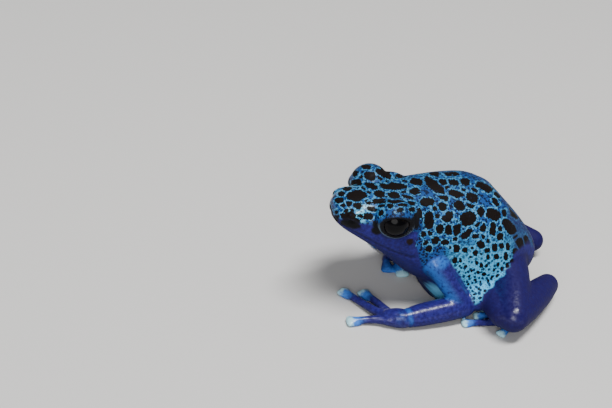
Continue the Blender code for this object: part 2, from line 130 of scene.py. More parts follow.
def facing(ahead: Triple) -> Points:
    """A turn whose second axis points along a direction and whose third stays near up.

    Args:
        ahead: the direction.

    Returns:
        A matrix with the three axes as its columns.
    """
    forward = unit(ahead)
    upward = np.array((1.0, 0.0, 0.0)) if abs(forward[2]) > 0.9 else np.array((0.0, 0.0, 1.0))
    across = unit(np.cross(forward, upward))
    return np.column_stack((across, forward, np.cross(across, forward)))


def segment_reach(points: Points, start: Triple, end: Triple) -> tuple[Points, Points]:
    """How far points lie from a straight line, and how far along it they are, from 0 to 1."""
    first, line = np.asarray(start), np.asarray(end) - np.asarray(start)
    share = np.clip((points - first) @ line / (line @ line), 0.0, 1.0)
    return np.linalg.norm(points - first - share[:, None] * line, axis=1), share


def path_reach(points: Points, path: Points) -> Points:
    """How far points lie from a line of many short lengths."""
    reach = np.full(len(points), 1e3)
    for start, end in zip(path, path[1:]):
        reach = np.minimum(reach, segment_reach(points, start, end)[0])
    return reach


# Modelling by operators


def deselect() -> None:
    """Leave edit mode and select nothing."""
    if bpy.context.mode != "OBJECT":
        bpy.ops.object.mode_set(mode="OBJECT")
    bpy.ops.object.select_all(action="DESELECT")


def pick(piece: Piece) -> None:
    """Make one piece the only one selected, and active."""
    deselect()
    piece.select_set(True)
    bpy.context.view_layer.objects.active = piece


def triples(items: bpy.types.bpy_prop_collection, name: str) -> Points:
    """A value of three numbers from every item of a mesh, one row each."""
    flat = np.empty(len(items) * 3)
    items.foreach_get(name, flat)
    return flat.reshape(-1, 3)


def vertices(piece: Piece) -> Points:
    """A piece's vertices as its mesh holds them, one row each."""
    return triples(piece.data.vertices, "co")


def normals(piece: Piece) -> Points:
    """The outward directions at a piece's vertices, one row each."""
    return triples(piece.data.vertex_normals, "vector")


def set_vertices(piece: Piece, places: Points) -> None:
    """Move a piece's vertices to new places, in the mesh's own units."""
    piece.data.vertices.foreach_set("co", np.asarray(places, dtype=float).ravel())
    piece.data.update()


def to_tables(metres: Points) -> Points:
    """Places in the tables' frame, in millimetres, from places in the scene."""
    return metres / MM + MIDDLE


def to_scene(places: Points) -> Points:
    """Places in the scene, in metres, from places in the tables' frame."""
    return (np.asarray(places, dtype=float) - MIDDLE) * MM


def reshape(piece: Piece, mapping: Callable[[Points], Points]) -> None:
    """Move a piece's vertices to the places that a mapping gives in the tables' frame."""
    set_vertices(piece, to_scene(mapping(vertices(piece))))


def modify(piece: Piece, kind: str, **settings: object) -> None:
    """Add one modifier to a piece and apply it.

    Args:
        piece: the object.
        kind: the modifier's type.
        settings: the modifier's values by name.
    """
    pick(piece)
    change = piece.modifiers.new(kind.title(), kind)
    for name, value in settings.items():
        setattr(change, name, value)
    bpy.ops.object.modifier_apply(modifier=change.name)


def join(pieces: Sequence[Piece], name: str) -> Piece:
    """Several pieces as one object.

    Args:
        pieces: the objects, of which the first takes in the rest.
        name: the name of the whole.

    Returns:
        The joined object.
    """
    deselect()
    for piece in pieces:
        piece.select_set(True)
    bpy.context.view_layer.objects.active = pieces[0]
    bpy.ops.object.join()
    whole = bpy.context.object
    whole.name = name
    whole.data.name = name
    return whole


def store(piece: Piece, name: str, values: Points) -> None:
    """Write one number for each vertex as a named attribute of the mesh."""
    made = piece.data.attributes.new(name, "FLOAT", "POINT")
    made.data.foreach_set("value", np.asarray(values, dtype=np.float32))


# Forms


class Form:
    """A closed form of flesh, shaped from a ball of radius 1.

    Attributes:
        sides: how many sides the ball has.
        bands: how many bands it has from pole to pole.
    """

    sides: ClassVar[int]
    bands: ClassVar[int]

    def place(self, points: Points) -> Points:
        """Places in the tables' frame for points on the ball."""
        raise NotImplementedError

    def form(self, sides: int = 0, bands: int = 0, name: str = "form") -> Piece:
        """The form as a closed mesh.

        Args:
            sides: the ball's sides, or 0 for the usual number.
            bands: the ball's bands, or 0 for the usual number.
            name: the object's name.

        Returns:
            The new object.
        """
        deselect()
        bpy.ops.mesh.primitive_uv_sphere_add(
            segments=sides or self.sides, ring_count=bands or self.bands, radius=1.0
        )
        piece = bpy.context.object
        piece.name = name
        reshape(piece, self.place)
        return piece


@dataclass(frozen=True)
class Mass(Form):
    """A rounded mass of flesh.

    Attributes:
        centre: its middle.
        radii: half its size across, along and upward.
        along: the direction of its second radius.
        square: 2 for an ellipsoid, more for boxier corners seen from above.
        flare: how much wider its front is, as a share of its width.
    """

    sides: ClassVar[int] = 28
    bands: ClassVar[int] = 18

    centre: Triple
    radii: Triple
    along: Triple = (0.0, -1.0, 0.0)
    square: float = 2.0
    flare: float = 0.0

    def mirrored(self) -> "Mass":
        """The same mass on the frog's other side."""
        (x, y, z), (across, ahead, upward) = self.centre, self.along
        return replace(self, centre=(-x, y, z), along=(-across, ahead, upward))

    def pair(self) -> tuple["Mass", "Mass"]:
        """The mass and its mirror image."""
        return self, self.mirrored()

    def place(self, points: Points) -> Points:
        """Places on the mass for points on the ball."""
        flat = points.copy()
        if self.square != 2.0:
            level = np.linalg.norm(flat[:, :2], axis=1)
            box = power_sum(flat[:, 0], flat[:, 1], self.square)
            flat[:, :2] *= (level / np.maximum(box, 1e-6))[:, None]
        flat[:, 0] *= 1 + self.flare * flat[:, 1]
        return np.asarray(self.centre) + (flat * np.asarray(self.radii)) @ facing(self.along).T

    def reach(self, points: Points) -> Points:
        """About how far points lie outside the mass, less than 0 inside it."""
        local = (points - np.asarray(self.centre)) @ facing(self.along) / np.asarray(self.radii)
        return (np.linalg.norm(local, axis=1) - 1.0) * min(self.radii)

    def apart(self, points: Points, weights: Triple) -> Points:
        """How far points lie from the mass's middle, with each axis counted by its weight."""
        return np.linalg.norm((points - np.asarray(self.centre)) * weights, axis=1)


@dataclass(frozen=True)
class Tube(Form):
    """A length of limb or digit that bends smoothly, with rounded ends.

    Attributes:
        path: the points it passes, evenly spread.
        radii: its radius from start to end, evenly spread.
        cap: the share of the ball that becomes each rounded end.
        step: how far before and behind a point its direction is read, as a share of the path.
    """

    sides: ClassVar[int] = 22
    bands: ClassVar[int] = 36

    path: tuple[Triple, ...]
    radii: Radii
    cap: float = 0.16
    step: float = 0.02

    def place(self, points: Points) -> Points:
        """Places on the tube for points on the ball, whose axis becomes the path."""
        turn = np.arccos(np.clip(points[:, 2], -1.0, 1.0)) / math.pi
        share = np.clip((turn - self.cap) / (1 - 2 * self.cap), 0.0, 1.0)
        near, far = smooth_path(self.path, share - self.step), smooth_path(self.path, share + self.step)
        ahead = unit(far - near)
        side = unit(np.cross(ahead, (0.0, 0.0, 1.0)))
        lift = np.cross(side, ahead)
        edge = np.clip(np.minimum(turn, 1 - turn) / self.cap, 0.0, 1.0) * math.pi / 2
        radius = smooth_path(self.radii, share)
        past = np.where(turn < 0.5, -1.0, 1.0) * np.cos(edge)
        angle = np.arctan2(points[:, 1], points[:, 0])
        ring = (np.sin(edge) * radius[:, 0])[:, None]
        return (
            smooth_path(self.path, share)
            + ahead * past[:, None] * radius
            + side * np.cos(angle)[:, None] * ring
            + lift * np.sin(angle)[:, None] * ring
        )

    def reach(self, points: Points) -> tuple[Points, Points]:
        """How far points lie outside a straight tube, less than 0 inside, and how far along it they are."""
        distance, share = segment_reach(points, self.path[0], self.path[-1])
        return distance - smooth_path(self.radii, share)[:, 0], share


class Section(NamedTuple):
    """One section of the trunk: its place, back, belly, half width and where it is widest."""

    y: float
    top: float
    bottom: float
    half_width: float
    widest: float


@dataclass(frozen=True)
class Digit:
    """A finger or toe: where it leaves the hand or foot, its knuckle, its tip and how pale it is."""

    name: str
    root: Triple
    knuckle: Triple
    tip: Triple
    pale: float = 1.0

    def moved(self, inward: float, backward: float) -> "Digit":
        """The digit of the frog's other side, moved towards its middle and its rear."""
        places = [(inward - x, y + backward, z) for x, y, z in (self.root, self.knuckle, self.tip)]
        return Digit(self.name, *places)


class Side(Enum):
    """The two sides of the frog, with the sign of their X."""

    LEFT = 1
    RIGHT = -1

    @property
    def word(self) -> str:
        """The side's name as the nodes have it."""
        return self.name.lower()


# The animal


@dataclass
class Trunk(Form):
    """Trunk and head: a loft through sections, with the masses of flesh and bone on it."""

    sides: ClassVar[int] = 64
    bands: ClassVar[int] = 90

    squareness: float = 2.3
    sections: tuple[Section, ...] = (
        Section(-19.6, 17.0, 16.2, 0.4, 16.6),
        Section(-19.2, 17.7, 14.9, 1.9, 16.3),
        Section(-18.0, 18.3, 13.7, 3.1, 16.0),
        Section(-16.0, 18.8, 12.4, 4.3, 15.1),
        Section(-13.0, 19.0, 10.4, 5.5, 13.6),
        Section(-10.0, 19.1, 7.8, 6.1, 12.6),
        Section(-7.0, 19.4, 5.1, 6.4, 11.4),
        Section(-4.0, 19.7, 3.0, 6.7, 9.8),
        Section(-1.0, 19.7, -1.0, 7.4, 7.6),
        Section(3.0, 19.2, -1.6, 8.2, 5.2),
        Section(6.5, 17.4, -1.4, 8.1, 5.2),
        Section(9.5, 14.5, -0.6, 7.0, 5.6),
        Section(12.5, 11.3, 1.2, 5.2, 5.9),
        Section(14.8, 8.4, 3.0, 3.4, 5.7),
        Section(16.2, 6.0, 5.0, 0.5, 5.5),
    )
    brow: Mass = Mass((4.6, -11.75, 17.0), (2.95, 3.0, 3.0))
    brow_rear: Mass = Mass((3.9, -8.9, 16.6), (2.3, 3.5, 2.2), (0.0, 1.0, -0.1))
    cheek: Mass = Mass((3.7, -9.9, 13.0), (2.6, 3.6, 2.9))
    canthus: Mass = Mass((2.3, -15.6, 16.9), (1.3, 2.9, 1.3), (0.28, -1.0, 0.0))
    sacrum: Mass = Mass((2.4, 5.4, 15.7), (2.2, 3.6, 1.7), (0.0, 1.0, -0.45))
    shoulder_blade: Mass = Mass((3.7, -2.6, 15.4), (2.6, 4.4, 2.4))
    rump: Mass = Mass((2.4, 10.2, 7.4), (2.7, 3.0, 3.0), (0.2, 1.0, -0.7))
    groin: Mass = Mass((8.1, 4.2, 3.4), (2.3, 4.0, 2.3), (0.25, -1.0, -0.05))
    breast: Mass = Mass((3.5, -2.6, 7.6), (2.6, 2.8, 3.4))
    ear: Mass = Mass((6.35, -9.55, 14.0), (0.32, 0.9, 0.9))

    def masses(self) -> list[Mass]:
        """Every mass of the trunk on both sides."""
        left = [self.brow, self.brow_rear, self.cheek, self.canthus, self.sacrum, self.shoulder_blade]
        left += [self.rump, self.groin, self.breast, self.ear]
        return left + [mass.mirrored() for mass in left]

    def place(self, points: Points) -> Points:
        """Places on the loft for points on the ball, whose axis becomes the spine."""
        turn = np.arccos(np.clip(points[:, 2], -1.0, 1.0)) / math.pi
        share = np.clip((turn * self.bands - 1) / (self.bands - 2), 0.0, 1.0)
        y, top, bottom, half_width, widest = smooth_path(self.sections, share).T
        pole = (np.abs(points[:, 2]) > 0.99999).astype(float)
        angle = np.arctan2(points[:, 1], points[:, 0])
        across, upward = np.cos(angle), np.sin(angle)
        size = (1 - pole) / power_sum(across, upward, self.squareness)
        height = np.where(upward > 0, top - widest, widest - bottom)
        return np.column_stack((half_width * across * size, y, widest + height * upward * size))

    def forms(self) -> list[Piece]:
        """The trunk's loft and masses as closed meshes."""
        return [self.form()] + [mass.form() for mass in self.masses()]


@dataclass(kw_only=True)
class Limb:
    """What an arm and a leg share: digits with their discs, on a palm or sole.

    Attributes:
        side: the side of the frog.
        digits: the fingers or toes.
        digit_radii: a digit's radius from root to tip.
        pad: half a disc's width, length and height.
        bend_radii: the radius from the wrist or ankle to the middle of the palm or sole.
        hand_radii: half the palm's or sole's width, length and height.
        words: the names of its solids without their side, those of the digits last.
    """

    side: Side
    digits: tuple[Digit, ...]
    digit_radii: Radii
    pad: Triple
    bend_radii: Radii
    hand_radii: Triple
    words: tuple[str, ...]

    def lengths(self) -> list[Form]:
        """The limb's forms from the body to its palm or sole."""
        raise NotImplementedError

    def hand(self, start: Triple, end: Triple) -> list[Form]:
        """The bend from a wrist or ankle, and the palm or sole that it ends in."""
        first, last = np.asarray(start), np.asarray(end)
        bend = Tube((start, tuple((first + last) / 2), end), self.bend_radii)
        return [bend, Mass(end, self.hand_radii, tuple(last - first))]

    def disc(self, digit: Digit) -> Mass:
        """The disc at a digit's tip, widening to a blunt front and pressed on the floor."""
        tip = np.array((digit.tip[0], digit.tip[1], self.pad[2] - PAD_SINK))
        along = np.array((digit.tip[0] - digit.knuckle[0], digit.tip[1] - digit.knuckle[1], 0.0))
        centre = tip - unit(along) * (self.pad[1] - PAD_REACH)
        return Mass(tuple(centre), self.pad, tuple(along), PAD_SQUARE, PAD_FLARE)

    def forms(self) -> list[Piece]:
        """The limb's lengths, palm or sole, digits and discs as closed meshes."""
        made = [length.form() for length in self.lengths()]
        for digit in self.digits:
            made.append(Tube((digit.root, digit.knuckle, digit.tip), self.digit_radii).form(bands=26))
            made.append(self.disc(digit).form(32, 14))
        return made

    def nodes(self) -> list[str]:
        """The names of the limb's solids."""
        *parts, digit_word = self.words
        names = parts + [f"{digit_word}_{digit.name}" for digit in self.digits]
        return [f"{name}_{self.side.word}" for name in names]


@dataclass(kw_only=True)
class Arm(Limb):
    """One arm: shoulder, elbow, wrist, palm and four fingers."""

    shoulder: Triple
    elbow: Triple
    wrist: Triple
    palm: Triple
    upper_radii: Radii = (1.9, 1.75, 1.62, 1.72)
    fore_radii: Radii = (1.7, 1.82, 1.72, 1.45)
    bend_radii: Radii = (1.45, 1.5, 1.35)
    hand_radii: Triple = (1.6, 2.0, 1.05)
    digit_radii: Radii = (0.86, 0.73, 0.62, 0.58, 0.56)
    pad: Triple = (0.95, 1.3, 0.56)
    words: tuple[str, ...] = ("upper_arm", "forearm", "palm", "finger")

    def upper(self) -> Tube:
        """The upper arm."""
        return Tube((self.shoulder, self.elbow), self.upper_radii)

    def fore(self) -> Tube:
        """The forearm."""
        return Tube((self.elbow, self.wrist), self.fore_radii)

    def lengths(self) -> list[Form]:
        """The upper arm, the forearm, the wrist's bend and the palm."""
        return [self.upper(), self.fore(), *self.hand(self.wrist, self.palm)]


@dataclass(kw_only=True)
class Leg(Limb):
    """One folded leg: hip, knee, heel, ankle, sole and five toes."""

    hip: Triple
    knee: Triple
    heel: Triple
    ankle: Triple
    sole: Triple
    thigh_radii: Radii = (2.5, 2.9, 2.85, 2.4)
    front_radii: Radii = (2.2, 2.35, 2.2)
    shank_radii: Radii = (2.35, 2.5, 2.3, 1.8)
    tarsus_radii: Radii = (1.5, 1.25, 1.15, 1.15)
    bend_radii: Radii = (1.15, 0.95, 0.75)
    hand_radii: Triple = (1.35, 2.1, 0.8)
    digit_radii: Radii = (0.82, 0.68, 0.58, 0.52, 0.48)
    pad: Triple = (0.72, 1.0, 0.48)
    words: tuple[str, ...] = ("thigh", "shank", "tarsus", "sole", "toe")

    def thigh(self) -> Tube:
        """The thigh."""
        return Tube((self.hip, self.knee), self.thigh_radii)

    def front(self) -> Tube:
        """The muscle along the front of the thigh, a little ahead of the knee."""
        out, knee = self.side.value, self.knee[1]
        return Tube(((8.6 * out, knee - 0.6, 3.6), (13.2 * out, knee - 0.9, 3.5)), self.front_radii)

    def shank(self) -> Tube:
        """The shank."""
        return Tube((self.knee, self.heel), self.shank_radii)

    def tarsus(self) -> Tube:
        """The length between heel and foot."""
        return Tube((self.heel, self.ankle), self.tarsus_radii)

    def lengths(self) -> list[Form]:
        """The thigh and its front, the shank, the tarsus, the instep and the sole."""
        return [self.thigh(), self.front(), self.shank(), self.tarsus(), *self.hand(self.ankle, self.sole)]


PAD_SINK = 0.14  # how far a disc's underside is pressed flat on the floor
PAD_REACH = 0.62  # how far a disc reaches past its digit's tip
PAD_SQUARE = 4.0  # how boxy a disc is, seen from above
PAD_FLARE = 0.36  # how much wider a disc's front is

LEFT_ARM = Arm(
    side=Side.LEFT,
    shoulder=(6.0, -3.9, 8.7),
    elbow=(8.9, 0.6, 2.4),
    wrist=(8.9, -9.1, 1.5),
    palm=(7.7, -11.0, 1.1),
    digits=(
        Digit("1", (7.1, -10.2, 0.8), (6.4, -9.7, 0.55), (6.3, -8.6, 0.4)),
        Digit("2", (6.4, -10.8, 1.0), (4.5, -11.0, 0.85), (0.6, -12.0, 0.5)),
        Digit("3", (6.6, -11.8, 1.0), (5.0, -12.7, 0.9), (-0.3, -15.0, 0.5)),
        Digit("4", (7.9, -11.9, 1.0), (7.4, -13.5, 0.85), (6.6, -16.8, 0.5)),
    ),
)
RIGHT_ARM = Arm(
    side=Side.RIGHT,
    shoulder=(-6.0, -3.9, 8.7),
    elbow=(-9.4, 1.6, 2.6),
    wrist=(-9.4, -1.9, 1.6),
    palm=(-7.7, -3.4, 1.1),
    digits=(
        Digit("1", (-7.0, -2.7, 0.9), (-5.9, -2.2, 0.7), (-4.6, -2.0, 0.45)),
        Digit("2", (-6.4, -3.6, 1.0), (-5.3, -3.8, 0.85), (-2.6, -4.0, 0.5)),
        # this disc is drawn less pale, as painted shade under the chin
        Digit("3", (-6.9, -4.4, 1.0), (-6.2, -5.3, 0.9), (-4.1, -5.8, 0.55), 0.45),
        Digit("4", (-8.2, -4.0, 1.0), (-9.9, -4.8, 0.85), (-11.5, -4.8, 0.5)),
    ),
)
LEFT_LEG = Leg(
    side=Side.LEFT,
    hip=(3.3, 10.3, 6.4),
    knee=(14.5, 5.9, 3.8),
    heel=(7.0, 16.0, 2.6),
    ankle=(6.4, 11.7, 1.3),
    sole=(9.5, 9.0, 0.75),
    digits=(
        Digit("1", (8.6, 9.0, 0.7), (7.3, 8.3, 0.65), (6.6, 7.1, 0.45)),
        Digit("2", (9.2, 8.2, 0.7), (8.6, 6.8, 0.65), (7.9, 4.9, 0.45)),
        Digit("3", (9.7, 8.0, 0.7), (10.2, 6.2, 0.7), (9.3, 3.1, 0.45)),
        Digit("4", (10.3, 8.0, 0.7), (11.7, 5.9, 0.7), (10.6, 0.5, 0.45)),
        Digit("5", (10.7, 8.4, 0.7), (12.7, 7.3, 0.65), (14.0, 4.9, 0.45)),
    ),
)
RIGHT_LEG = Leg(
    side=Side.RIGHT,
    hip=(-3.3, 10.3, 6.4),
    knee=(-14.3, 7.0, 3.8),
    heel=(-4.1, 19.3, 2.7),
    ankle=(-5.8, 12.9, 1.3),
    sole=(-9.3, 10.0, 0.75),
    digits=tuple(toe.moved(0.2, 1.0) for toe in LEFT_LEG.digits),
)


# The camera of the photograph, which also places the markings of the near side


@dataclass(frozen=True)
class PhotoCamera:
    """Where the photograph was taken from, in the tables' frame.

    Attributes:
        place: the camera's place in millimetres.
        azimuth: its angle round the frog, in degrees.
        elevation: its angle above the floor, in degrees.
        roll: its turn about its own axis, in degrees.
        focal: its focal length in pixels of the 612 x 408 picture.
        size: the picture's width and height.
    """

    place: Triple = (190.31, -123.23, 161.66)
    azimuth: float = 62.455
    elevation: float = 33.812
    roll: float = 9.913
    focal: float = 1800.0
    size: tuple[int, int] = (612, 408)
    sensor: float = 36.0

    def axes(self) -> tuple[Points, Points, Points]:
        """The camera's right, up and back directions."""
        around, above, roll = (math.radians(angle) for angle in (self.azimuth, self.elevation, self.roll))
        back = np.array(
            (math.sin(around) * math.cos(above), -math.cos(around) * math.cos(above), math.sin(above))
        )
        right = np.array((math.cos(around), math.sin(around), 0.0))
        up = np.cross(back, right)
        return (
            right * math.cos(roll) + up * math.sin(roll),
            up * math.cos(roll) - right * math.sin(roll),
            back,
        )

    def pixels(self, points: Points) -> Points:
        """Where places in the tables' frame show in the picture, one row of x and y each."""
        right, up, back = self.axes()
        offset = points - np.asarray(self.place)
        depth = -(offset @ back)
        across = self.size[0] / 2 + self.focal * (offset @ right) / depth
        down = self.size[1] / 2 - self.focal * (offset @ up) / depth
        return np.column_stack((across, down))

    def looks_at(self, points: Points, directions: Points) -> Points:
        """How squarely surfaces face the camera: 1 head on, 0 edge on, less when turned away."""
        return np.sum(unit(np.asarray(self.place) - points) * directions, axis=1)

    def build(self) -> Piece:
        """The scene's camera."""
        deselect()
        bpy.ops.object.camera_add()
        camera = bpy.context.object
        camera.name = "photo_camera"
        camera.data.sensor_width = self.sensor
        camera.data.lens = self.focal * self.sensor / self.size[0]
        camera.data.clip_start = 0.01
        turn = Matrix([list(row) for row in np.column_stack(self.axes())]).to_4x4()
        turn.translation = Vector(to_scene(np.asarray(self.place)))
        camera.matrix_world = turn
        bpy.context.scene.camera = camera
        return camera


# Markings


@dataclass(frozen=True)
class Spot:
    """A dark spot as the camera sees it: centre, width, height and turn, in pixels and degrees."""

    x: float
    y: float
    width: float
    height: float
    turn: float = 0.0
    square: ClassVar[float] = 2.3

    def inside(self, offset: Points) -> Points:
        """How deep inside the spot places lie.

        Args:
            offset: pixels from the spot's centre.

        Returns:
            Pixels inside its edge, less than 0 outside it.
        """
        turn = math.radians(self.turn)
        across = offset @ (math.cos(turn), math.sin(turn)) / (self.width / 2)
        down = offset @ (-math.sin(turn), math.cos(turn)) / (self.height / 2)
        slope = np.hypot(across / self.width, down / self.height) * 2
        slope /= np.maximum(np.hypot(across, down), 1e-6)
        return (1 - power_sum(across, down, self.square)) / np.maximum(slope, 1e-6)


def read_spots(*table: Radii) -> tuple[Spot, ...]:
    """Spots from rows of x, y, width, height and, where it isn't 0, turn."""
    return tuple(Spot(*row) for row in table)


HEAD_SPOTS = read_spots(
    (366.3, 167.0, 9.0, 3.6, 5), (369.6, 175.9, 10.6, 7.8, 10), (356.9, 182.4, 10.6, 6.3, -14),
    (371.2, 186.0, 12.6, 5.0, 14), (393.3, 186.2, 26.5, 6.6, 5), (383.6, 173.9, 16.0, 5.2, 30),
    (401.1, 175.6, 12.0, 4.8, -8), (414.5, 191.6, 10.0, 6.6), (356.9, 195.5, 19.0, 10.4, -4),
    (347.1, 188.6, 7.8, 3.4, -12), (341.6, 193.5, 6.5, 4.2), (339.6, 200.3, 7.5, 5.2),
    (349.0, 204.3, 6.5, 5.0), (357.2, 205.6, 9.5, 6.0), (379.3, 193.8, 10.6, 5.9, 18),
    (394.0, 195.8, 13.4, 5.9, 4), (407.0, 196.8, 13.0, 2.6, 12), (379.0, 201.3, 14.3, 5.2, -8),
    (369.2, 203.0, 6.0, 3.0, -10), (395.9, 201.3, 17.0, 3.2, 5), (410.9, 203.0, 8.5, 3.6, 12),
    (403.0, 204.3, 11.0, 2.6), (371.8, 208.8, 9.0, 3.6, 15), (381.6, 205.6, 6.0, 2.5),
    (390.4, 206.0, 5.0, 3.0), (399.8, 210.3, 6.5, 3.4), (412.2, 209.4, 5.5, 4.0),
    (368.3, 216.4, 9.5, 5.5, -10), (360.5, 215.3, 4.2, 3.2), (336.4, 212.0, 3.4, 3.0),
    (345.8, 210.2, 3.0, 3.0), (342.4, 216.0, 2.6, 4.0), (381.3, 212.9, 4.4, 5.0), (363.4, 188.0, 4.2, 3.0),
    (380.3, 178.2, 4.8, 3.0, 20), (368.6, 192.5, 4.0, 2.5), (343.0, 204.8, 3.6, 2.8),
    (361.8, 177.4, 3.6, 2.6), (403.5, 191.4, 4.2, 2.4), (387.0, 182.0, 4.0, 2.2), (404.8, 181.0, 5.0, 2.6),
    (355.0, 173.6, 4.0, 5.6, 35), (387.0, 196.6, 3.2, 2.6), (366.0, 200.0, 3.4, 2.2),
    (352.6, 210.4, 3.0, 2.4),
)
BACK_SPOTS = read_spots(
    (416.8, 181.8, 13.0, 6.8, 12), (434.2, 185.4, 25.5, 8.6, 39), (443.0, 182.4, 8.2, 5.0, 15),
    (453.8, 182.7, 11.6, 5.4, 12), (465.0, 181.9, 10.6, 6.2, 22), (451.6, 173.9, 14.0, 3.8),
    (434.4, 173.4, 11.0, 4.6, 12), (418.5, 172.2, 13.0, 3.0, 4), (484.2, 187.2, 18.0, 7.2, 26),
    (456.0, 193.8, 14.8, 7.0, 14), (472.3, 197.4, 12.6, 9.2, 28), (443.0, 197.3, 10.6, 4.6, 20),
    (426.9, 202.0, 14.0, 8.4, 2), (442.6, 206.7, 9.6, 7.4, 10), (459.4, 205.6, 10.8, 8.6, 40),
    (470.2, 205.3, 8.2, 4.6, 25), (468.4, 218.4, 16.4, 14.0, -8), (448.2, 216.6, 12.0, 8.8, -38),
    (429.3, 220.0, 10.0, 18.0, 4), (419.4, 213.2, 4.4, 9.5, -8), (480.9, 211.6, 6.8, 10.0, -8),
    (493.4, 214.5, 15.4, 10.4, 22), (495.5, 202.0, 5.0, 9.4, -35), (440.0, 229.1, 7.2, 9.0, 12),
    (448.3, 230.0, 7.6, 9.6, 8), (457.2, 228.8, 7.2, 13.0, 4), (466.9, 233.8, 13.4, 6.6, -36),
    (475.8, 236.0, 7.2, 4.2, -10), (482.6, 227.6, 6.2, 9.6, 4), (478.4, 224.4, 6.4, 5.2, -20),
    (493.0, 229.2, 6.0, 13.0, 4), (499.9, 236.8, 6.6, 7.8), (509.4, 227.2, 20.0, 9.4, 52),
    (504.2, 213.0, 4.6, 7.6), (435.4, 240.7, 8.6, 6.2, -35), (445.3, 242.6, 7.8, 5.0, -6),
    (423.6, 234.7, 4.8, 6.0), (425.8, 243.0, 3.8, 5.0), (428.9, 248.5, 5.2, 6.2, 10),
    (456.4, 248.5, 6.2, 7.4, 10), (450.8, 247.8, 3.6, 2.8), (465.0, 250.2, 5.8, 5.8),
    (480.9, 244.6, 8.4, 7.8), (475.8, 253.2, 6.2, 5.8), (487.4, 250.5, 5.6, 5.0),
    (494.7, 247.4, 6.0, 8.6, 6), (501.6, 245.8, 5.0, 5.6), (507.6, 246.8, 4.6, 7.8),
    (487.8, 240.7, 4.4, 4.8), (454.7, 260.1, 4.6, 7.0), (460.3, 260.4, 3.8, 5.0), (476.6, 262.3, 3.6, 4.2),
    (480.9, 266.1, 3.8, 4.8, 20), (487.8, 257.4, 4.0, 4.6), (496.4, 257.0, 4.8, 5.2),
    (505.9, 256.2, 4.2, 7.8, 10), (486.9, 265.3, 3.4, 4.2, 20), (498.1, 264.0, 3.4, 5.0, 12),
    (471.9, 270.5, 3.8, 2.8), (477.9, 272.2, 4.0, 3.8, 15), (483.9, 273.9, 4.6, 4.0),
    (469.3, 276.5, 3.4, 3.4), (507.2, 264.9, 4.6, 5.0), (501.6, 268.8, 3.0, 5.0, 15),
    (437.4, 216.1, 4.2, 4.2), (455.1, 239.0, 3.6, 4.0), (463.7, 190.0, 4.6, 3.2), (430.1, 233.0, 4.2, 4.8),
    (434.9, 208.6, 3.8, 5.0, -30), (447.3, 187.8, 5.0, 2.8), (474.5, 190.2, 6.6, 4.2, 10),
    (500.3, 228.6, 4.2, 5.0), (483.0, 236.8, 2.8, 5.0), (472.6, 248.0, 3.2, 2.8), (480.6, 254.0, 3.0, 2.6),
    (470.2, 257.4, 3.0, 2.4), (465.2, 266.2, 2.8, 2.6), (460.0, 265.6, 2.8, 3.0), (474.6, 280.0, 2.8, 2.8),
    (480.4, 281.4, 2.6, 3.0), (487.6, 280.4, 2.6, 3.2), (468.4, 283.8, 2.6, 2.8), (478.6, 288.6, 2.6, 2.6),
    (484.6, 290.8, 2.6, 3.0), (492.0, 277.0, 3.2, 4.2, 15), (497.4, 276.2, 2.8, 4.4, 15),
    (493.6, 270.0, 2.8, 4.0, 15), (474.0, 295.0, 2.4, 2.4), (480.8, 297.4, 2.4, 2.4),
    (456.6, 222.6, 3.6, 4.2),
)
RUMP_SPOTS = read_spots(
    (520.0, 243.0, 8.0, 15.0, -25), (515.6, 252.6, 6.0, 9.0, -15), (527.0, 243.0, 5.0, 16.0, -14),
    (516.0, 236.4, 7.0, 7.0), (512.6, 262.0, 5.0, 7.0), (522.0, 258.0, 6.0, 11.0),
    (497.0, 194.6, 7.0, 4.4, 45), (514.4, 214.6, 5.0, 10.0, -35),
)
FACE_PATCHES = read_spots(
    (349.5, 224.0, 23.0, 8.0, 16), (337.0, 219.0, 6.5, 9.0, -30), (376.5, 230.5, 11.0, 8.0, 10),
)
HAUNCH_LINE = ((215, 521), (240, 517), (255, 514), (268, 510), (280, 500), (290, 489), (306, 475), (320, 462))
RUMP_LINE = ((165, 486), (185, 494), (205, 504), (225, 508), (245, 511), (262, 512), (280, 501), (306, 475))


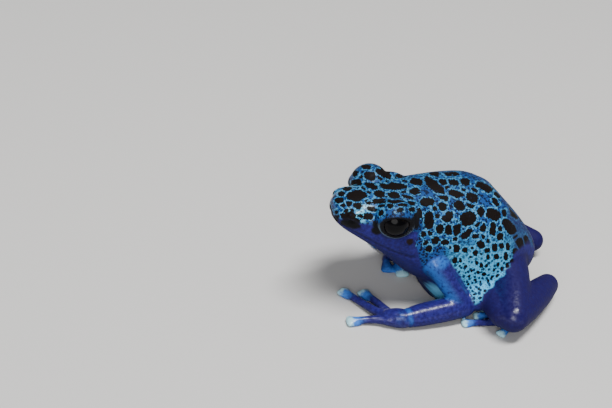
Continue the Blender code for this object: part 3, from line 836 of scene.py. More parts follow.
@dataclass
class Markings:
    """The dark spots, and where each ground colour lies on the skin.

    Attributes:
        camera: what the spots' pixels are read through.
        grain: pixels for a millimetre at the frog's distance.
        wobble: how far the spots' edges wander, in pixels.
        shift: how far the far side's spots lie ahead of the near side's, in millimetres.
        parting: the width of the pale line left between two spots that meet, in millimetres.
        swell: how much wider the head's spots are drawn, in millimetres.
        halo: how far past its edge a spot is still read, in pixels.
        outside: what is read away from every spot, in millimetres.
        edge_on: how squarely a surface faces the camera where the read spots fade out.
        tries: how many places on the rear are tried for a scattered spot.
        sizes: the least and most radius of a scattered spot, in millimetres.
    """

    camera: PhotoCamera = field(default_factory=PhotoCamera)
    grain: float = 7.0
    wobble: float = 0.55
    shift: float = 0.9
    parting: float = 0.27
    swell: float = 0.05
    halo: float = 14.0
    outside: float = -3.0
    edge_on: tuple[float, float] = (0.22, 0.12)
    tries: int = 9000
    sizes: tuple[float, float] = (0.42, 1.0)

    def depth(self, points: Points, directions: Points, table: Sequence[Spot]) -> Points:
        """How deep inside a spot places on the near side lie.

        Args:
            points: places in the tables' frame.
            directions: the surface's outward directions there.
            table: the spots.

        Returns:
            Millimetres inside the nearest spot, less than 0 outside it.
        """
        pixels = self.camera.pixels(points)
        pixels[:, 0] += self.wobble * ripple(points, 1.3, 3)
        pixels[:, 1] += self.wobble * ripple(points, 1.3, 4)
        deepest = np.full(len(points), self.outside)
        second = deepest.copy()
        for spot in table:
            offset = pixels - (spot.x, spot.y)
            near = np.abs(offset).max(axis=1) < max(spot.width, spot.height) * 0.5 + self.halo
            inside = spot.inside(offset[near]) / self.grain
            second[near] = np.maximum(second[near], np.minimum(inside, deepest[near]))
            deepest[near] = np.maximum(deepest[near], inside)
        deepest = np.minimum(deepest, deepest - second - self.parting)
        turned = self.camera.looks_at(points, directions)
        return deepest - 1.2 * ramp(turned, 0.2, 0.02)

    def hidden(self, points: Points, directions: Points) -> Points:
        """How far places lie on the rear that neither side's spots reach, from 0 to 1."""
        away = ramp(self.camera.looks_at(points, directions), *self.edge_on)
        return away * ramp(self.camera.looks_at(points * MIRROR, directions * MIRROR), *self.edge_on)

    def scattered(self, points: Points, rear: Points, read: Points) -> Points:
        """How deep inside the seeded spots of the rear places lie.

        Args:
            points: places in the tables' frame.
            rear: how far each of them lies on the hidden rear, from 0 to 1.
            read: how deep inside the spots read from the picture they lie, in millimetres.

        Returns:
            Millimetres inside the nearest spot, less than 0 outside it.
        """
        draw = np.random.default_rng(11)
        chosen = draw.permutation(np.flatnonzero(rear > 0.5))[: self.tries]
        centres, sizes = np.empty((0, 3)), np.empty(0)
        for place, depth in zip(points[chosen], read[chosen]):
            size = draw.uniform(*self.sizes) * np.interp(place[2], (2.0, 12.0), (0.6, 1.15))
            room = np.linalg.norm(centres - place, axis=1) - sizes - size
            if np.all(room > self.parting + 0.12) and -depth > size + self.parting:
                centres, sizes = np.vstack((centres, place)), np.append(sizes, size)
        warped = points + 0.22 * np.column_stack([ripple(points, 1.5, seed) for seed in (21, 22, 23)])
        deepest = np.full(len(points), self.outside)
        for centre, size in zip(centres, sizes):
            deepest = np.maximum(deepest, size - np.linalg.norm(warped - centre, axis=1))
        return deepest

    def spots(self, points: Points, directions: Points) -> Points:
        """How deep inside a spot of either side or of the rear each place lies, in millimetres."""
        other = points * MIRROR + (0.0, self.shift, 0.0) + 0.5 * ripple(points, 6.0, 8)[:, None]
        away = ramp(self.camera.looks_at(points, directions), 0.12, -0.05)
        table = HEAD_SPOTS + BACK_SPOTS + RUMP_SPOTS
        near = self.depth(points, directions, table)
        far = self.depth(other, directions * MIRROR, table) + self.outside * (1 - away)
        read = np.maximum(near, far)
        deepest = np.maximum(read, self.scattered(points, self.hidden(points, directions), read))
        return deepest + self.swell * ramp(points[:, 1], -8.0, -10.0)

    def border(self, points: Points, line: Pairs) -> Points:
        """How far places lie behind a line drawn down either side of the frog.

        Args:
            points: places in the tables' frame.
            line: the line's heights and distances across the picture, in pixels from its top down.

        Returns:
            Pixels behind the line, less than 0 ahead of it.
        """
        pixels = self.camera.pixels(points * np.where(points[:, :1] < 0, -1.0, 1.0) ** (1.0, 0.0, 0.0))
        return pixels[:, 0] - by_table(pixels[:, 1], line) + 2.0 * ripple(points, 1.6, 5)


# Skin


# Up to which Z the jaw's deep blue reaches for a Y, and back to which Y for a Z
JAW_TOP = (
    (-19.6, 15.9), (-18.9, 16.3), (-18.0, 16.8), (-16.5, 16.5), (-15.2, 16.3),
    (-14.0, 15.9), (-12.0, 15.5), (-10.0, 15.6), (-8.3, 15.2),
)
JAW_BACK = ((4.0, -5.4), (10.5, -7.0), (13.0, -8.0), (15.5, -8.2))
# Down to which Z the back's pattern reaches for a Y
HEM = ((-8.0, 9.5), (-3.0, 6.4), (0.0, 3.0), (6.0, 1.6))


@dataclass
class Skin:
    """The frog's one skin, fused from every form, with its folds, openings and markings.

    Attributes:
        trunk: the trunk and head.
        arms: both arms.
        legs: both legs.
        markings: the dark spots and the borders of the back's pattern.
        voxel: how fine the forms are fused.
        eye_opening: half the length and height of the opening between the lids.
        rim_spread: how much wider than the opening the lids' rim runs.
        rim_ahead: how far ahead of the eye's centre it runs.
        mouth_tip: the mouth line's height at the tip of the snout.
        mouth_line: its Y and Z down to the corner of the mouth.
        wrist_folds: each fold's share along the forearm, spare radius and depth.
        smoothings: how often all the skin, and then its fleshy parts, are smoothed.
        fleshy_reach: how far past the legs' and the shoulders' forms skin counts as fleshy.
    """

    trunk: Trunk
    arms: tuple[Arm, ...]
    legs: tuple[Leg, ...]
    markings: Markings = field(default_factory=Markings)
    voxel: float = 0.208
    eye_centre: Triple = (4.85, -11.8, 16.85)
    eye_radius: float = 2.42
    eye_facing: Triple = (0.95, -0.22, 0.08)
    eye_opening: tuple[float, float] = (2.25, 1.6)
    rim_spread: tuple[float, float] = (1.1, 1.12)
    rim_ahead: float = 1.5
    rim_radius: float = 0.24
    mouth_depth: float = 0.17
    nostril_depth: float = 0.32
    ear_depth: float = 0.13
    mouth_tip: float = 15.35
    mouth_line: tuple[tuple[float, float], ...] = (
        (-18.9, 15.2), (-17.8, 14.7), (-15.5, 13.7), (-12.5, 12.3), (-9.6, 11.1), (-7.9, 10.6),
    )
    nostril: Mass = Mass((3.1, -17.85, 16.3), (0.34, 0.3, 0.22), (0.3, -1.0, 0.2))
    wrist_folds: tuple[Triple, ...] = ((0.97, 0.0, 0.08), (0.9, 0.05, 0.06))
    smoothings: tuple[int, int] = (4, 24)
    fleshy_reach: tuple[float, float] = (0.7, 0.9)

    def lid_rim(self, side: Side) -> Piece:
        """The thick rim round the opening between the lids, as a closed ring."""
        deselect()
        thin = 0.16
        bpy.ops.mesh.primitive_torus_add(
            major_segments=48, minor_segments=10, major_radius=1.0, minor_radius=thin
        )
        rim = bpy.context.object
        half_length, half_height = np.array(self.eye_opening) * self.rim_spread

        def placed(points: Points) -> Points:
            """Places on the rim for points on the unit ring."""
            ring = unit(points * (1.0, 1.0, 0.0))
            thick = (points - ring) / thin * self.rim_radius
            flat = ring * (half_length, half_height, 0.0) + (0.0, 0.0, self.rim_ahead)
            return self.eye_middle(side) + (flat + thick)[:, (0, 2, 1)] @ facing(self.eye_look(side)).T

        reshape(rim, placed)
        pick(rim)
        bpy.ops.object.mode_set(mode="EDIT")
        bpy.ops.mesh.select_all(action="SELECT")
        bpy.ops.mesh.normals_make_consistent(inside=False)
        bpy.ops.object.mode_set(mode="OBJECT")
        return rim

    def eye_middle(self, side: Side) -> Points:
        """An eye's centre."""
        return np.asarray(self.eye_centre) * (side.value, 1.0, 1.0)

    def eye_look(self, side: Side) -> Triple:
        """The way that an eye looks."""
        return tuple(unit(np.asarray(self.eye_facing) * (side.value, 1.0, 1.0)))

    def eye_local(self, points: Points, side: Side) -> tuple[Points, Points]:
        """Places as an eye has them.

        Args:
            points: the places.
            side: which eye.

        Returns:
            The places across, out of and up from the eye's centre, and how far out they lie from its
            middle line, with 1 at the edge of the lids' opening.
        """
        local = (points - self.eye_middle(side)) @ facing(self.eye_look(side))
        return local, np.hypot(local[:, 0] / self.eye_opening[0], local[:, 2] / self.eye_opening[1])

    def fused(self) -> Piece:
        """One closed skin round every form."""
        forms = self.trunk.forms() + [self.lid_rim(side) for side in Side]
        for limb in self.arms + self.legs:
            forms += limb.forms()
        skin = join(forms, "skin")
        modify(skin, "REMESH", mode="VOXEL", voxel_size=self.voxel * MM)
        modify(skin, "SMOOTH", factor=0.5, iterations=self.smoothings[0])
        joints = skin.vertex_groups.new(name="joints")
        joints.add(np.flatnonzero(self.fleshy(to_tables(vertices(skin)))).tolist(), 1.0, "REPLACE")
        modify(skin, "SMOOTH", factor=0.5, iterations=self.smoothings[1], vertex_group="joints")
        skin.vertex_groups.clear()
        return skin

    def fleshy(self, points: Points) -> Points:
        """Which places lie on the haunches, knees, heels and shoulders, where forms melt together."""
        near = np.zeros(len(points), dtype=bool)
        for leg in self.legs:
            for tube in (leg.thigh(), leg.front(), leg.shank()):
                near |= tube.reach(points)[0] < self.fleshy_reach[0]
        for arm in self.arms:
            reach, share = arm.upper().reach(points)
            near |= (reach < self.fleshy_reach[1]) & (share < 0.35)
        return near & (points[:, 2] > 1.3)

    def sculpt(self, skin: Piece) -> None:
        """Press the openings, lines and folds into the fused skin."""
        points = to_tables(vertices(skin))
        outward = normals(skin)
        for side in Side:
            points = self.open_lids(points, side)
        points -= outward * (self.mouth_depth * ramp(path_reach(points, self.mouth(skin)), 0.5, 0.0))[:, None]
        for pit in self.nostril.pair():
            points -= outward * (self.nostril_depth * ramp(pit.reach(points), 0.22, -0.1))[:, None]
        for ear in self.trunk.ear.pair():
            beside = ramp(np.abs(points[:, 0] - ear.centre[0]), 1.6, 1.2)
            rim = ramp(np.abs(ear.apart(points, (0.0, 1.0, 1.0)) - 1.0), 0.3, 0.0)
            points -= outward * (self.ear_depth * beside * rim)[:, None]
        for arm in self.arms:
            for share, wider, depth in self.wrist_folds:
                fold = ring_round(arm.elbow, arm.wrist, share, arm.fore_radii[-1] + wider)
                points -= outward * (depth * ramp(path_reach(points, fold), 0.42, 0.0))[:, None]
        set_vertices(skin, to_scene(points))

    def open_lids(self, points: Points, side: Side) -> Points:
        """Let the skin between the lids sink behind the eyeball.

        Args:
            points: the skin's places.
            side: which eye.

        Returns:
            The changed places.
        """
        local, oval = self.eye_local(points, side)
        open_share = ramp(oval, 1.07, 0.98) * (local[:, 1] > 0)
        reach = np.linalg.norm(local, axis=1)
        sunk = np.minimum(reach, self.eye_radius - 0.25)
        wanted = reach + (sunk - reach) * open_share
        moved = local * (wanted / np.maximum(reach, 1e-6))[:, None]
        return self.eye_middle(side) + moved @ facing(self.eye_look(side)).T

    def mouth(self, skin: Piece) -> Points:
        """The line of the mouth on the skin, from one corner round the snout to the other."""
        tree = BVHTree.FromObject(skin, bpy.context.evaluated_depsgraph_get())

        def touched(origin: Triple, direction: Triple) -> Points:
            """Where a straight line meets the skin."""
            place = tree.ray_cast(Vector(to_scene(np.asarray(origin))), Vector(direction))[0]
            return to_tables(np.asarray(place))

        left = [touched((20.0, y, z), (-1.0, 0.0, 0.0)) for y, z in self.mouth_line]
        right = [touched((-20.0, y, z), (1.0, 0.0, 0.0)) for y, z in reversed(self.mouth_line)]
        route = right + [touched((0.0, -30.0, self.mouth_tip), (0.0, 1.0, 0.0))] + left
        return smooth_path(route, np.linspace(0.0, 1.0, 60))

    def level(self, skin: Piece) -> None:
        """Cut the skin level with the floor and close the cuts."""
        pick(skin)
        bpy.ops.object.mode_set(mode="EDIT")
        bpy.ops.mesh.select_all(action="SELECT")
        bpy.ops.mesh.bisect(
            plane_co=(0.0, 0.0, 0.0), plane_no=(0.0, 0.0, -1.0), use_fill=True, clear_outer=True
        )
        bpy.ops.object.mode_set(mode="OBJECT")

    def paint(self, skin: Piece) -> None:
        """Write where each colour of the skin lies, as attributes of its vertices."""
        points, outward = to_tables(vertices(skin)), normals(skin)
        y, z, side_x, up = points[:, 1], points[:, 2], np.abs(points[:, 0]), outward[:, 2]
        wave = 0.25 * ripple(points, 2.2, 5)
        arm_part, sky = self.arm_marks(points, outward)
        leg_part, knee = self.leg_marks(points)
        jaw = ramp(by_table(y, JAW_TOP) - z + wave, -0.15, 0.25)
        jaw *= ramp(by_table(z, JAW_BACK) - y + wave, -0.2, 0.3)
        haunch = ramp(self.markings.border(points, HAUNCH_LINE), -1.5, 1.5) * ramp(y, 0.0, 1.0)
        back = ramp(arm_part + 0.2 * wave, 0.12, 0.5) * (1 - jaw) * (1 - ramp(z, 2.2, 1.9))
        back *= 1 - haunch * ramp(leg_part, 1.6, 0.9)
        back *= ramp(z - by_table(y, HEM), -0.6, 0.6)
        back *= 1 - haunch * ramp(z + 2.5 * wave, 8.8, 7.4)
        wet = np.maximum(ramp(arm_part, 0.6, 0.1), knee * ramp(outward[:, 1], 0.35, -0.1))
        wet = np.maximum(wet * ramp(up, 0.0, 0.5), ramp(y, -13.0, -15.0) * ramp(up, -0.1, 0.4))
        # behind the rump's line the back turns plain dark blue: partly the rump's own deep blue, partly
        # painted shade
        rump = ramp(self.markings.border(points, RUMP_LINE), -4.0, 5.0) * ramp(y, 0.0, 1.0)
        # the chest's pale patch, drawn brighter than its own blue as painted light
        breast = np.hypot(side_x - 5.4, np.hypot(y + 2.1, z - 2.6)) + 0.3 * ripple(points, 1.4, 13)
        marks = {
            # the legs' darker blue: partly their own colour, partly painted shade
            "leg": ramp(leg_part, 0.6, 0.2) * ramp(z, 1.6, 2.4),
            "back": back,
            "crown": ramp(z + wave, 17.2, 19.0) * ramp(y, -15.5, -12.5),
            "low": ramp(z + 1.2 * wave, 15.2, 8.4) * ramp(y, -4.0, -1.6) * ramp(side_x, 2.5, 5.0),
            "wet": np.maximum(wet, 0.35 * (y < -9)) * (1 - jaw * (y < -6) * (z > 6)),
            "rump": rump * (1 - 0.5 * ramp(side_x, 6.0, 0.5) * ramp(z, 6.0, 9.0)),
            # skin facing down: painted shade in its colour, and flatter granules
            "under": ramp(up, -0.1, -0.7),
            "ear": self.ear_discs(points),
            "spot": self.markings.spots(points, outward),
            # pale blue of shoulder, inner arm and wrist, partly painted highlight
            "sky": sky,
            # painted highlight: the snout's ridges are drawn paler cyan where light catches them
            "shine": self.ridge_shine(points, outward) * (1 - jaw),
            "chest": 0.95 * ramp(breast, 3.0, 0.8),
            "pad": self.pale_tips(points, outward),
            # painted shade in mouth and nostrils, with the face's own dark patches
            "dark": self.dark_marks_and_pit_shade(points, outward, skin),
            "lid": self.lid_band(points),
        }
        for name, values in marks.items():
            store(skin, name, values)

    def arm_marks(self, points: Points, outward: Points) -> tuple[Points, Points]:
        """Where the arms lie, and where they are pale blue, partly painted highlight: shoulder, inner arm and
        wrist.

        Args:
            points: the skin's places.
            outward: its outward directions there.

        Returns:
            The distance from the nearest arm or hand, and the share of pale blue with painted highlight.
        """
        nearest, sky = np.full(len(points), 9.0), np.zeros(len(points))
        for arm in self.arms:
            upper, upper_share = arm.upper().reach(points)
            fore, fore_share = arm.fore().reach(points)
            on_upper = ramp(upper, 0.5, 0.2)
            # painted highlight on the shoulder's upward face
            shoulder = 0.8 * on_upper * ramp(upper_share, 0.12, -0.02) * ramp(outward[:, 2], -0.1, 0.5)
            inner = 0.75 * on_upper * (ramp(outward[:, 1], 0.05, -0.7) * ramp(upper_share, 1.0, 0.6))
            # the wrist's pale band: partly its own colour, partly painted sheen on its upper side
            band = ramp(np.abs(fore_share - 0.955 + 0.012 * ripple(points, 1.4, 12)), 0.06, 0.0)
            wrist = 0.6 * band * ramp(fore, 0.6, 0.3) * ramp(outward[:, 2], -0.7, 0.5)
            sky = np.maximum.reduce((sky, shoulder, inner, wrist))
            hand = np.linalg.norm(points - np.asarray(arm.palm), axis=1) - 2.6
            nearest = np.minimum.reduce((nearest, upper, fore, hand))
        return nearest, sky

    def leg_marks(self, points: Points) -> tuple[Points, Points]:
        """The distance from the nearest leg, and where the moist knees lie, for the skin's places."""
        nearest, knee = np.full(len(points), 9.0), np.zeros(len(points))
        for leg in self.legs:
            thigh, thigh_share = leg.thigh().reach(points)
            knee = np.maximum(knee, ramp(thigh, 0.35, 0.1) * ramp(thigh_share, 0.35, 0.6))
            for tube in (leg.thigh(), leg.front(), leg.shank(), leg.tarsus()):
                nearest = np.minimum(nearest, tube.reach(points)[0])
        return nearest, knee

    def ear_discs(self, points: Points) -> Points:
        """Where the brown ear drums lie."""
        edge = 0.08 * ripple(points, 1.0, 6)
        return np.maximum.reduce([
            ramp(ear.apart(points, (0.4, 1.0, 1.0)) + edge, 0.68, 0.5) for ear in self.trunk.ear.pair()
        ])

    def ridge_shine(self, points: Points, outward: Points) -> Points:
        """Where the ridges between eyes and snout get a painted highlight on their steep sides."""
        steep = ramp(np.abs(outward[:, 0]), 0.1, 0.5)
        ridges = [ramp(mass.reach(points), 0.7, -0.1) for mass in self.trunk.canthus.pair()]
        return np.maximum.reduce(ridges) * steep

    def pale_tips(self, points: Points, outward: Points) -> Points:
        """Where the ends of the digits' discs are pale."""
        pale = np.zeros(len(points))
        open_side = (outward[:, 2] > -0.25) | (points[:, 2] < 0.4)
        for limb in self.arms + self.legs:
            for digit in limb.digits:
                disc = limb.disc(digit)
                local = (points - np.asarray(disc.centre)) @ facing(disc.along)
                beside = open_side * ramp(np.hypot(local[:, 0] / 1.3, local[:, 2] / 0.8), 1.4, 1.1)
                share = local[:, 1] / limb.pad[1]
                ahead = np.clip((share + 1.5) / 2.3, 0.0, 1.0) * (share < 1.3)
                pale = np.maximum(pale, digit.pale * beside * ahead)
        return pale

    def dark_marks_and_pit_shade(self, points: Points, outward: Points, skin: Piece) -> Points:
        """Where lines, pits and patches are dark, with painted shade in the mouth's groove and the nostrils'
        pits.

        Args:
            points: the skin's places.
            outward: its outward directions there.
            skin: the skin itself.

        Returns:
            The share of dark: painted shade in the mouth's groove and the nostrils' pits, and the dark of the
                patches round the nostrils, on the snout and round the eyes.
        """
        # painted shade along the mouth's groove
        dark = 0.5 * ramp(path_reach(points, self.mouth(skin)), 0.26, 0.06)
        for pit in self.nostril.pair():
            # painted shade in each nostril's pit
            dark = np.maximum(dark, ramp(pit.reach(points), 0.25, 0.0))
            reach = pit.apart(points, (0.7, 0.62, 1.5)) + 0.1 * ripple(points, 1.2, 9)
            dark = np.maximum(dark, 0.93 * ramp(reach, 1.0, 0.75))
        near = self.markings.depth(points, outward, FACE_PATCHES)
        far = self.markings.depth(points * MIRROR, outward * MIRROR, FACE_PATCHES)
        patches = ramp(np.where(points[:, 0] > 0, near, far), -0.1, 0.12) * (points[:, 1] < -12.5)
        dark = np.maximum(dark, patches)
        for side in Side:
            local, oval = self.eye_local(points, side)
            out, upward = local[:, 0] * side.value, local[:, 2]
            behind = np.maximum(np.abs(out + 2.2) / 1.45, np.abs(upward - 0.2) / 1.3)
            ahead = np.hypot((out - 2.3) / 1.1, (upward + 0.55) / 0.75)
            corners = np.maximum(ramp(behind, 1.05, 0.9), ramp(ahead, 1.05, 0.85))
            dark = np.maximum(dark, (local[:, 1] > -1.8) * np.maximum(ramp(oval, 1.22, 1.14), corners))
        return dark

    def lid_band(self, points: Points) -> Points:
        """Where the grey-blue edges of the lids lie below each eye."""
        band = np.zeros(len(points))
        for side in Side:
            local, oval = self.eye_local(points, side)
            edge = ramp(np.abs(oval - 1.17), 0.06, 0.01) * (local[:, 1] > 0.2) * ramp(local[:, 2], 0.4, -0.3)
            band = np.maximum(band, edge)
        return band

    def build(self) -> Piece:
        """The finished skin, dressed, in place of every solid but the eyes."""
        skin = self.fused()
        self.sculpt(skin)
        self.level(skin)
        self.paint(skin)
        SkinFinish().dress(skin)
        nodes = ["head", "torso"]
        for limb in self.arms + self.legs:
            nodes += limb.nodes()
        hand_over(skin, nodes)
        return skin


def hand_over(piece: Piece, nodes: Sequence[str]) -> None:
    """Shade a piece smooth, give it its body, and let it stand for its solids.

    Args:
        piece: the finished piece.
        nodes: the solids that it replaces.
    """
    pick(piece)
    bpy.ops.object.shade_smooth()
    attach(piece, BODY)
    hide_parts(*nodes)
    LOG.info("%s: %d faces", piece.name, len(piece.data.polygons))


def ring_round(start: Triple, end: Triple, share: float, radius: float) -> Points:
    """A ring round a straight limb.

    Args:
        start: where the limb starts.
        end: where it ends.
        share: how far along it the ring lies.
        radius: the ring's radius.

    Returns:
        The ring's points.
    """
    first, last = np.asarray(start), np.asarray(end)
    angle = np.linspace(0.0, 2 * math.pi, 33)
    local = np.column_stack((np.cos(angle), np.zeros(33), np.sin(angle))) * radius
    return first + (last - first) * share + local @ facing(tuple(last - first)).T


@dataclass
class Eye:
    """One eyeball: dark iris, darker pupil and a clear, wet front in one ball."""

    side: Side
    skin: Skin
    pupil: tuple[float, float] = (0.62, 0.5)

    def build(self) -> Piece:
        """The finished eyeball in place of its solid."""
        centre, look = self.skin.eye_middle(self.side), self.skin.eye_look(self.side)
        radius = self.skin.eye_radius
        eye = Mass(tuple(centre), (radius,) * 3, look).form(64, 40, f"eyeball_{self.side.word}")
        across, ahead, upward = ((to_tables(vertices(eye)) - centre) @ facing(look) / radius).T
        back = 4.0 * (ahead < 0)
        store(eye, "pupil", np.hypot(across / self.pupil[0], upward / self.pupil[1]) + back)
        store(eye, "iris", np.hypot(across, upward) + back)
        EyeFinish().dress(eye)
        hand_over(eye, [f"eye_{self.side.word}"])
        return eye


# Finishes


class Nodes:
    """A short way to place and join shader nodes in one tree."""

    def __init__(self, tree: bpy.types.NodeTree) -> None:
        """Work on the given tree."""
        self.tree = tree

    def add(self, kind: str, inputs: Inputs | None = None, **settings: object) -> bpy.types.Node:
        """A new node.

        Args:
            kind: the node's type without its Shader prefix.
            inputs: what goes into its sockets, by name or number.
            settings: the node's own values by name.

        Returns:
            The node.
        """
        node = self.tree.nodes.new(kind if kind.startswith("Node") else f"ShaderNode{kind}")
        for name, value in settings.items():
            setattr(node, name, value)
        self.fill(node, inputs or {})
        return node

    def fill(self, node: bpy.types.Node, inputs: Inputs) -> None:
        """Join outputs to a node's sockets, or set the sockets to numbers or colours.

        Args:
            node: the node.
            inputs: what goes into its sockets, by name or number.
        """
        for key, value in inputs.items():
            socket = node.inputs[key]
            value = value.socket if isinstance(value, Signal) else value
            if isinstance(value, Socket):
                self.tree.links.new(value, socket)
            else:
                socket.default_value = (*value, 1.0) if socket.type == "RGBA" else value

    def maths(self, operation: str, first: object, second: object = 0.0) -> "Signal":
        """The result of one sum on two values."""
        return Signal(self, self.add("Math", {0: first, 1: second}, operation=operation).outputs[0])

    def step(self, value: object, low: float, high: float) -> "Signal":
        """A smooth step of a value from 0 at low to 1 at high, which may be the lower one."""
        (start, first), (end, last) = sorted(((low, 0.0), (high, 1.0)))
        span = {"From Min": start, "From Max": end, "To Min": first, "To Max": last}
        node = self.add("MapRange", {"Value": value, **span}, interpolation_type="SMOOTHSTEP")
        return Signal(self, node.outputs["Result"])

    def mix(self, share: object, first: object, second: object) -> "Signal":
        """The first colour changed to the second by a share."""
        return Signal(self, self.add("Mix", {0: share, 6: first, 7: second}, data_type="RGBA").outputs[2])

    def read(self, name: str) -> "Signal":
        """A named attribute of the mesh as a number."""
        return Signal(self, self.add("Attribute", attribute_name=name).outputs["Fac"])

    def place(self) -> Socket:
        """The place on the piece, in metres."""
        return self.add("TexCoord").outputs["Object"]


@dataclass(frozen=True)
class Signal:
    """A number or colour that changes over the surface, with sums on it as operators.

    Attributes:
        nodes: the tree that it lies in.
        socket: the output that carries it.
    """

    nodes: Nodes
    socket: Socket

    def __add__(self, other: "Signal | float") -> "Signal":
        """This and the other."""
        return self.nodes.maths("ADD", self, other)

    def __sub__(self, other: "Signal | float") -> "Signal":
        """This less the other."""
        return self.nodes.maths("SUBTRACT", self, other)

    def __rsub__(self, other: float) -> "Signal":
        """A number less this."""
        return self.nodes.maths("SUBTRACT", other, self)

    def __mul__(self, other: "Signal | float") -> "Signal":
        """This times the other."""
        return self.nodes.maths("MULTIPLY", self, other)


def material(piece: Piece, name: str) -> tuple[Nodes, bpy.types.Node]:
    """Give a piece a new material.

    Args:
        piece: the object that wears it.
        name: the material's name.

    Returns:
        The material's tree and its shader.
    """
    made = bpy.data.materials.new(name)
    made.use_nodes = True
    piece.data.materials.clear()
    piece.data.materials.append(made)
    return Nodes(made.node_tree), made.node_tree.nodes["Principled BSDF"]


WARP_SCALE = 900.0  # the lumps for each metre by which the granules' rows are bent
WARP_REACH = 0.0004  # how far they are bent, in metres
MASK_EDGE = 0.08  # how soft a granule's mask is at its edge, in shares of a cell


def granules_group() -> bpy.types.NodeTree:
    """Rounded granules over a surface: a height, and a mask of their middles. Made once, then reused."""
    made = bpy.data.node_groups.get("granules")
    if made:
        return made
    made = bpy.data.node_groups.new("granules", "ShaderNodeTree")
    for way, names in (("INPUT", ("Scale", "Size")), ("OUTPUT", ("Height", "Mask"))):
        for name in names:
            made.interface.new_socket(name, in_out=way, socket_type="NodeSocketFloat")
    nodes = Nodes(made)
    given, place = nodes.add("NodeGroupInput").outputs, nodes.place()
    warp = nodes.add("TexNoise", {"Vector": place, "Scale": WARP_SCALE}).outputs["Color"]
    bent = nodes.add("VectorMath", {0: warp, 1: (WARP_REACH,) * 3, 2: place}, operation="MULTIPLY_ADD")
    cells = nodes.add("TexVoronoi", {"Vector": bent.outputs[0], "Scale": given["Scale"]}, feature="F1")
    distance = Signal(nodes, cells.outputs["Distance"])
    inside = nodes.maths("DIVIDE", Signal(nodes, given["Size"]) - distance, MASK_EDGE)
    mask = nodes.add("Clamp", {"Value": inside}).outputs[0]
    nodes.add("NodeGroupOutput", {"Height": 1.0 - distance, "Mask": mask})
    return made


def granules(nodes: Nodes, scale: float, size: float = 0.4) -> dict[str, Signal]:
    """The granules placed in a material.

    Args:
        nodes: the material's tree.
        scale: how many cells fit in a metre.
        size: how far the mask reaches from each cell's middle, in shares of a cell.

    Returns:
        The height and the mask by name.
    """
    node = nodes.add("Group", node_tree=granules_group())
    nodes.fill(node, {"Scale": scale, "Size": size})
    return {output.name: Signal(nodes, output) for output in node.outputs}


